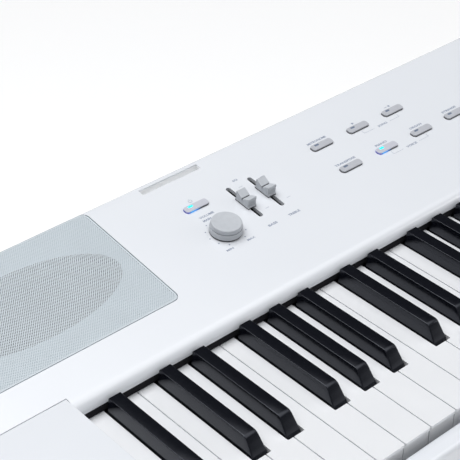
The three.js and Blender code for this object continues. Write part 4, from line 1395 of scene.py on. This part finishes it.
def make_stand_side(side):
    """A side board with its edge bands, the cleat inside its top, and caps over the bolts."""
    node = f"stand_side_{side}"
    low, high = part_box(node)
    sign = -1 if side == "left" else 1
    outer = sign * max(abs(low.x), abs(high.x))
    inner = outer - sign * BOARD_THICKNESS
    x0, x1 = sorted((outer, inner))
    board = Shape().box(x0, x1, low.y + BAND, high.y - BAND, low.z, high.z).object(f"{node}_board")
    finish_piece(board, LAMINATE, "stand_board", replaces=[node], bevel=0.8 * MM, segments=3)
    for name, y in (("front", low.y), ("back", high.y - BAND)):
        make_band(f"{node}_{name}_band", x0 + 0.1 * MM, x1 - 0.1 * MM, y, y + BAND,
                  low.z + 0.2 * MM, high.z - 0.2 * MM)
    x0, x1 = sorted((inner - sign * 0.1 * MM, sign * min(abs(low.x), abs(high.x))))
    cleat = Shape().box(x0, x1, low.y + 6 * MM, high.y - 6 * MM, high.z - CLEAT_HEIGHT, high.z)
    cleat = cleat.object(f"{node}_cleat")
    holes = Shape()
    for y in (-SCREW_Y, SCREW_Y):
        holes.rise(circle(sign * SCREW_X, y, SCREW_HOLE, 24), high.z - 30 * MM, high.z + 10 * MM)
    carve(cleat, holes)
    finish_piece(cleat, LAMINATE, "stand_board", bevel=0.8 * MM, segments=3)
    for z in (300 * MM, 405 * MM, 510 * MM):
        make_cover_cap("bolt_cap", outer, 121 * MM, z, 90 * sign)
    for y in (-80 * MM, 20 * MM, 110 * MM):
        make_cover_cap("cleat_cap", outer, y, high.z - CLEAT_HEIGHT / 2, 90 * sign)


def make_stand_foot(side):
    """A foot board with eased ends on four glides."""
    node = f"stand_foot_{side}"
    low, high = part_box(node)
    ease, lift = 8 * MM, 3 * MM
    section = [(low.y, low.z + lift), (high.y, low.z + lift), (high.y, high.z - ease),
               (high.y - ease, high.z), (low.y + ease, high.z), (low.y, high.z - ease)]
    piece = Shape().run(section, low.x, high.x).object(f"{node}_board")
    finish_piece(piece, LAMINATE, "stand_board", replaces=[node], bevel=1.6 * MM, segments=3)
    profile = [(9 * MM, lift), (9 * MM, 0.8 * MM), (8.2 * MM, 0)]
    for x in (low.x + 12 * MM, high.x - 12 * MM):
        for y in (low.y + 20 * MM, high.y - 20 * MM):
            finish_piece(Shape().turned(x, y, profile, 32).object(f"{node}_glide"), DARK, "stand_board")


def make_back_board():
    """The cross board with its top band, held at each end by two steel brackets."""
    node = "stand_back_panel"
    low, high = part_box(node)
    board = Shape().box(low.x, high.x, low.y, high.y, low.z, high.z - BAND).object(f"{node}_board")
    finish_piece(board, LAMINATE, "stand_board", replaces=[node], bevel=0.8 * MM, segments=3)
    make_band(f"{node}_top_band", low.x, high.x, low.y + 0.1 * MM, high.y - 0.1 * MM, high.z - BAND, high.z)
    front = low.y - 2 * MM
    for x, sign in ((low.x, 1), (high.x, -1)):
        for z in (320 * MM, 490 * MM):
            x0, x1 = sorted((x + sign * 0.3 * MM, x + sign * 30 * MM))
            bracket = Shape().box(x0, x1, front, low.y, z - 20 * MM, z + 20 * MM).object("back_bracket")
            finish_piece(bracket, STEEL, "stand_board", bevel=0.4 * MM)
            make_screw_head("bracket_screw", facing(90, x + sign * 17 * MM, front, z))


def make_hand_screw(side, place):
    """A lobed head with a washer and shank, up through the cleat into the tray."""
    node = f"stand_screw_{side}_{place}"
    low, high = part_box(node)
    x, y = -SCREW_X if side == "left" else SCREW_X, (low.y + high.y) / 2
    under = low.z + 15 * MM
    outline = []
    for k in range(96):
        angle = 2 * math.pi * k / 96
        r = 14 * MM - 1.4 * MM * (1 - math.cos(5 * angle))
        outline.append((x + r * math.cos(angle), y + r * math.sin(angle)))
    head = Shape().rise(outline, low.z, under - 1.5 * MM).object(f"{node}_head")
    finish_piece(head, DARK, "dark_plastic", replaces=[node], bevel=1.4 * MM, segments=3, angle=60)
    profile = [(9 * MM, under), (9.4 * MM, under - 0.4 * MM), (9.4 * MM, under - 1.6 * MM)]
    washer = Shape().turned(x, y, profile, 40)
    washer.turned(x, y, [(2.5 * MM, high.z), (3 * MM, high.z - MM), (3 * MM, under - MM)], 32)
    finish_piece(washer.object(f"{node}_washer"), STEEL, "dark_plastic")


for end in SIDES:
    make_stand_side(end)
    make_stand_foot(end)
    for screw_place in ("front", "back"):
        make_hand_screw(end, screw_place)
make_back_board()

# ---- inner parts that keep their modelled shape

for inner_node, inner_material in (("key_bed", STEEL), ("felt_strip", FELT), ("main_board", BOARD)):
    inner_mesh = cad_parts[inner_node].data
    inner_mesh.materials.clear()
    inner_mesh.materials.append(inner_material)
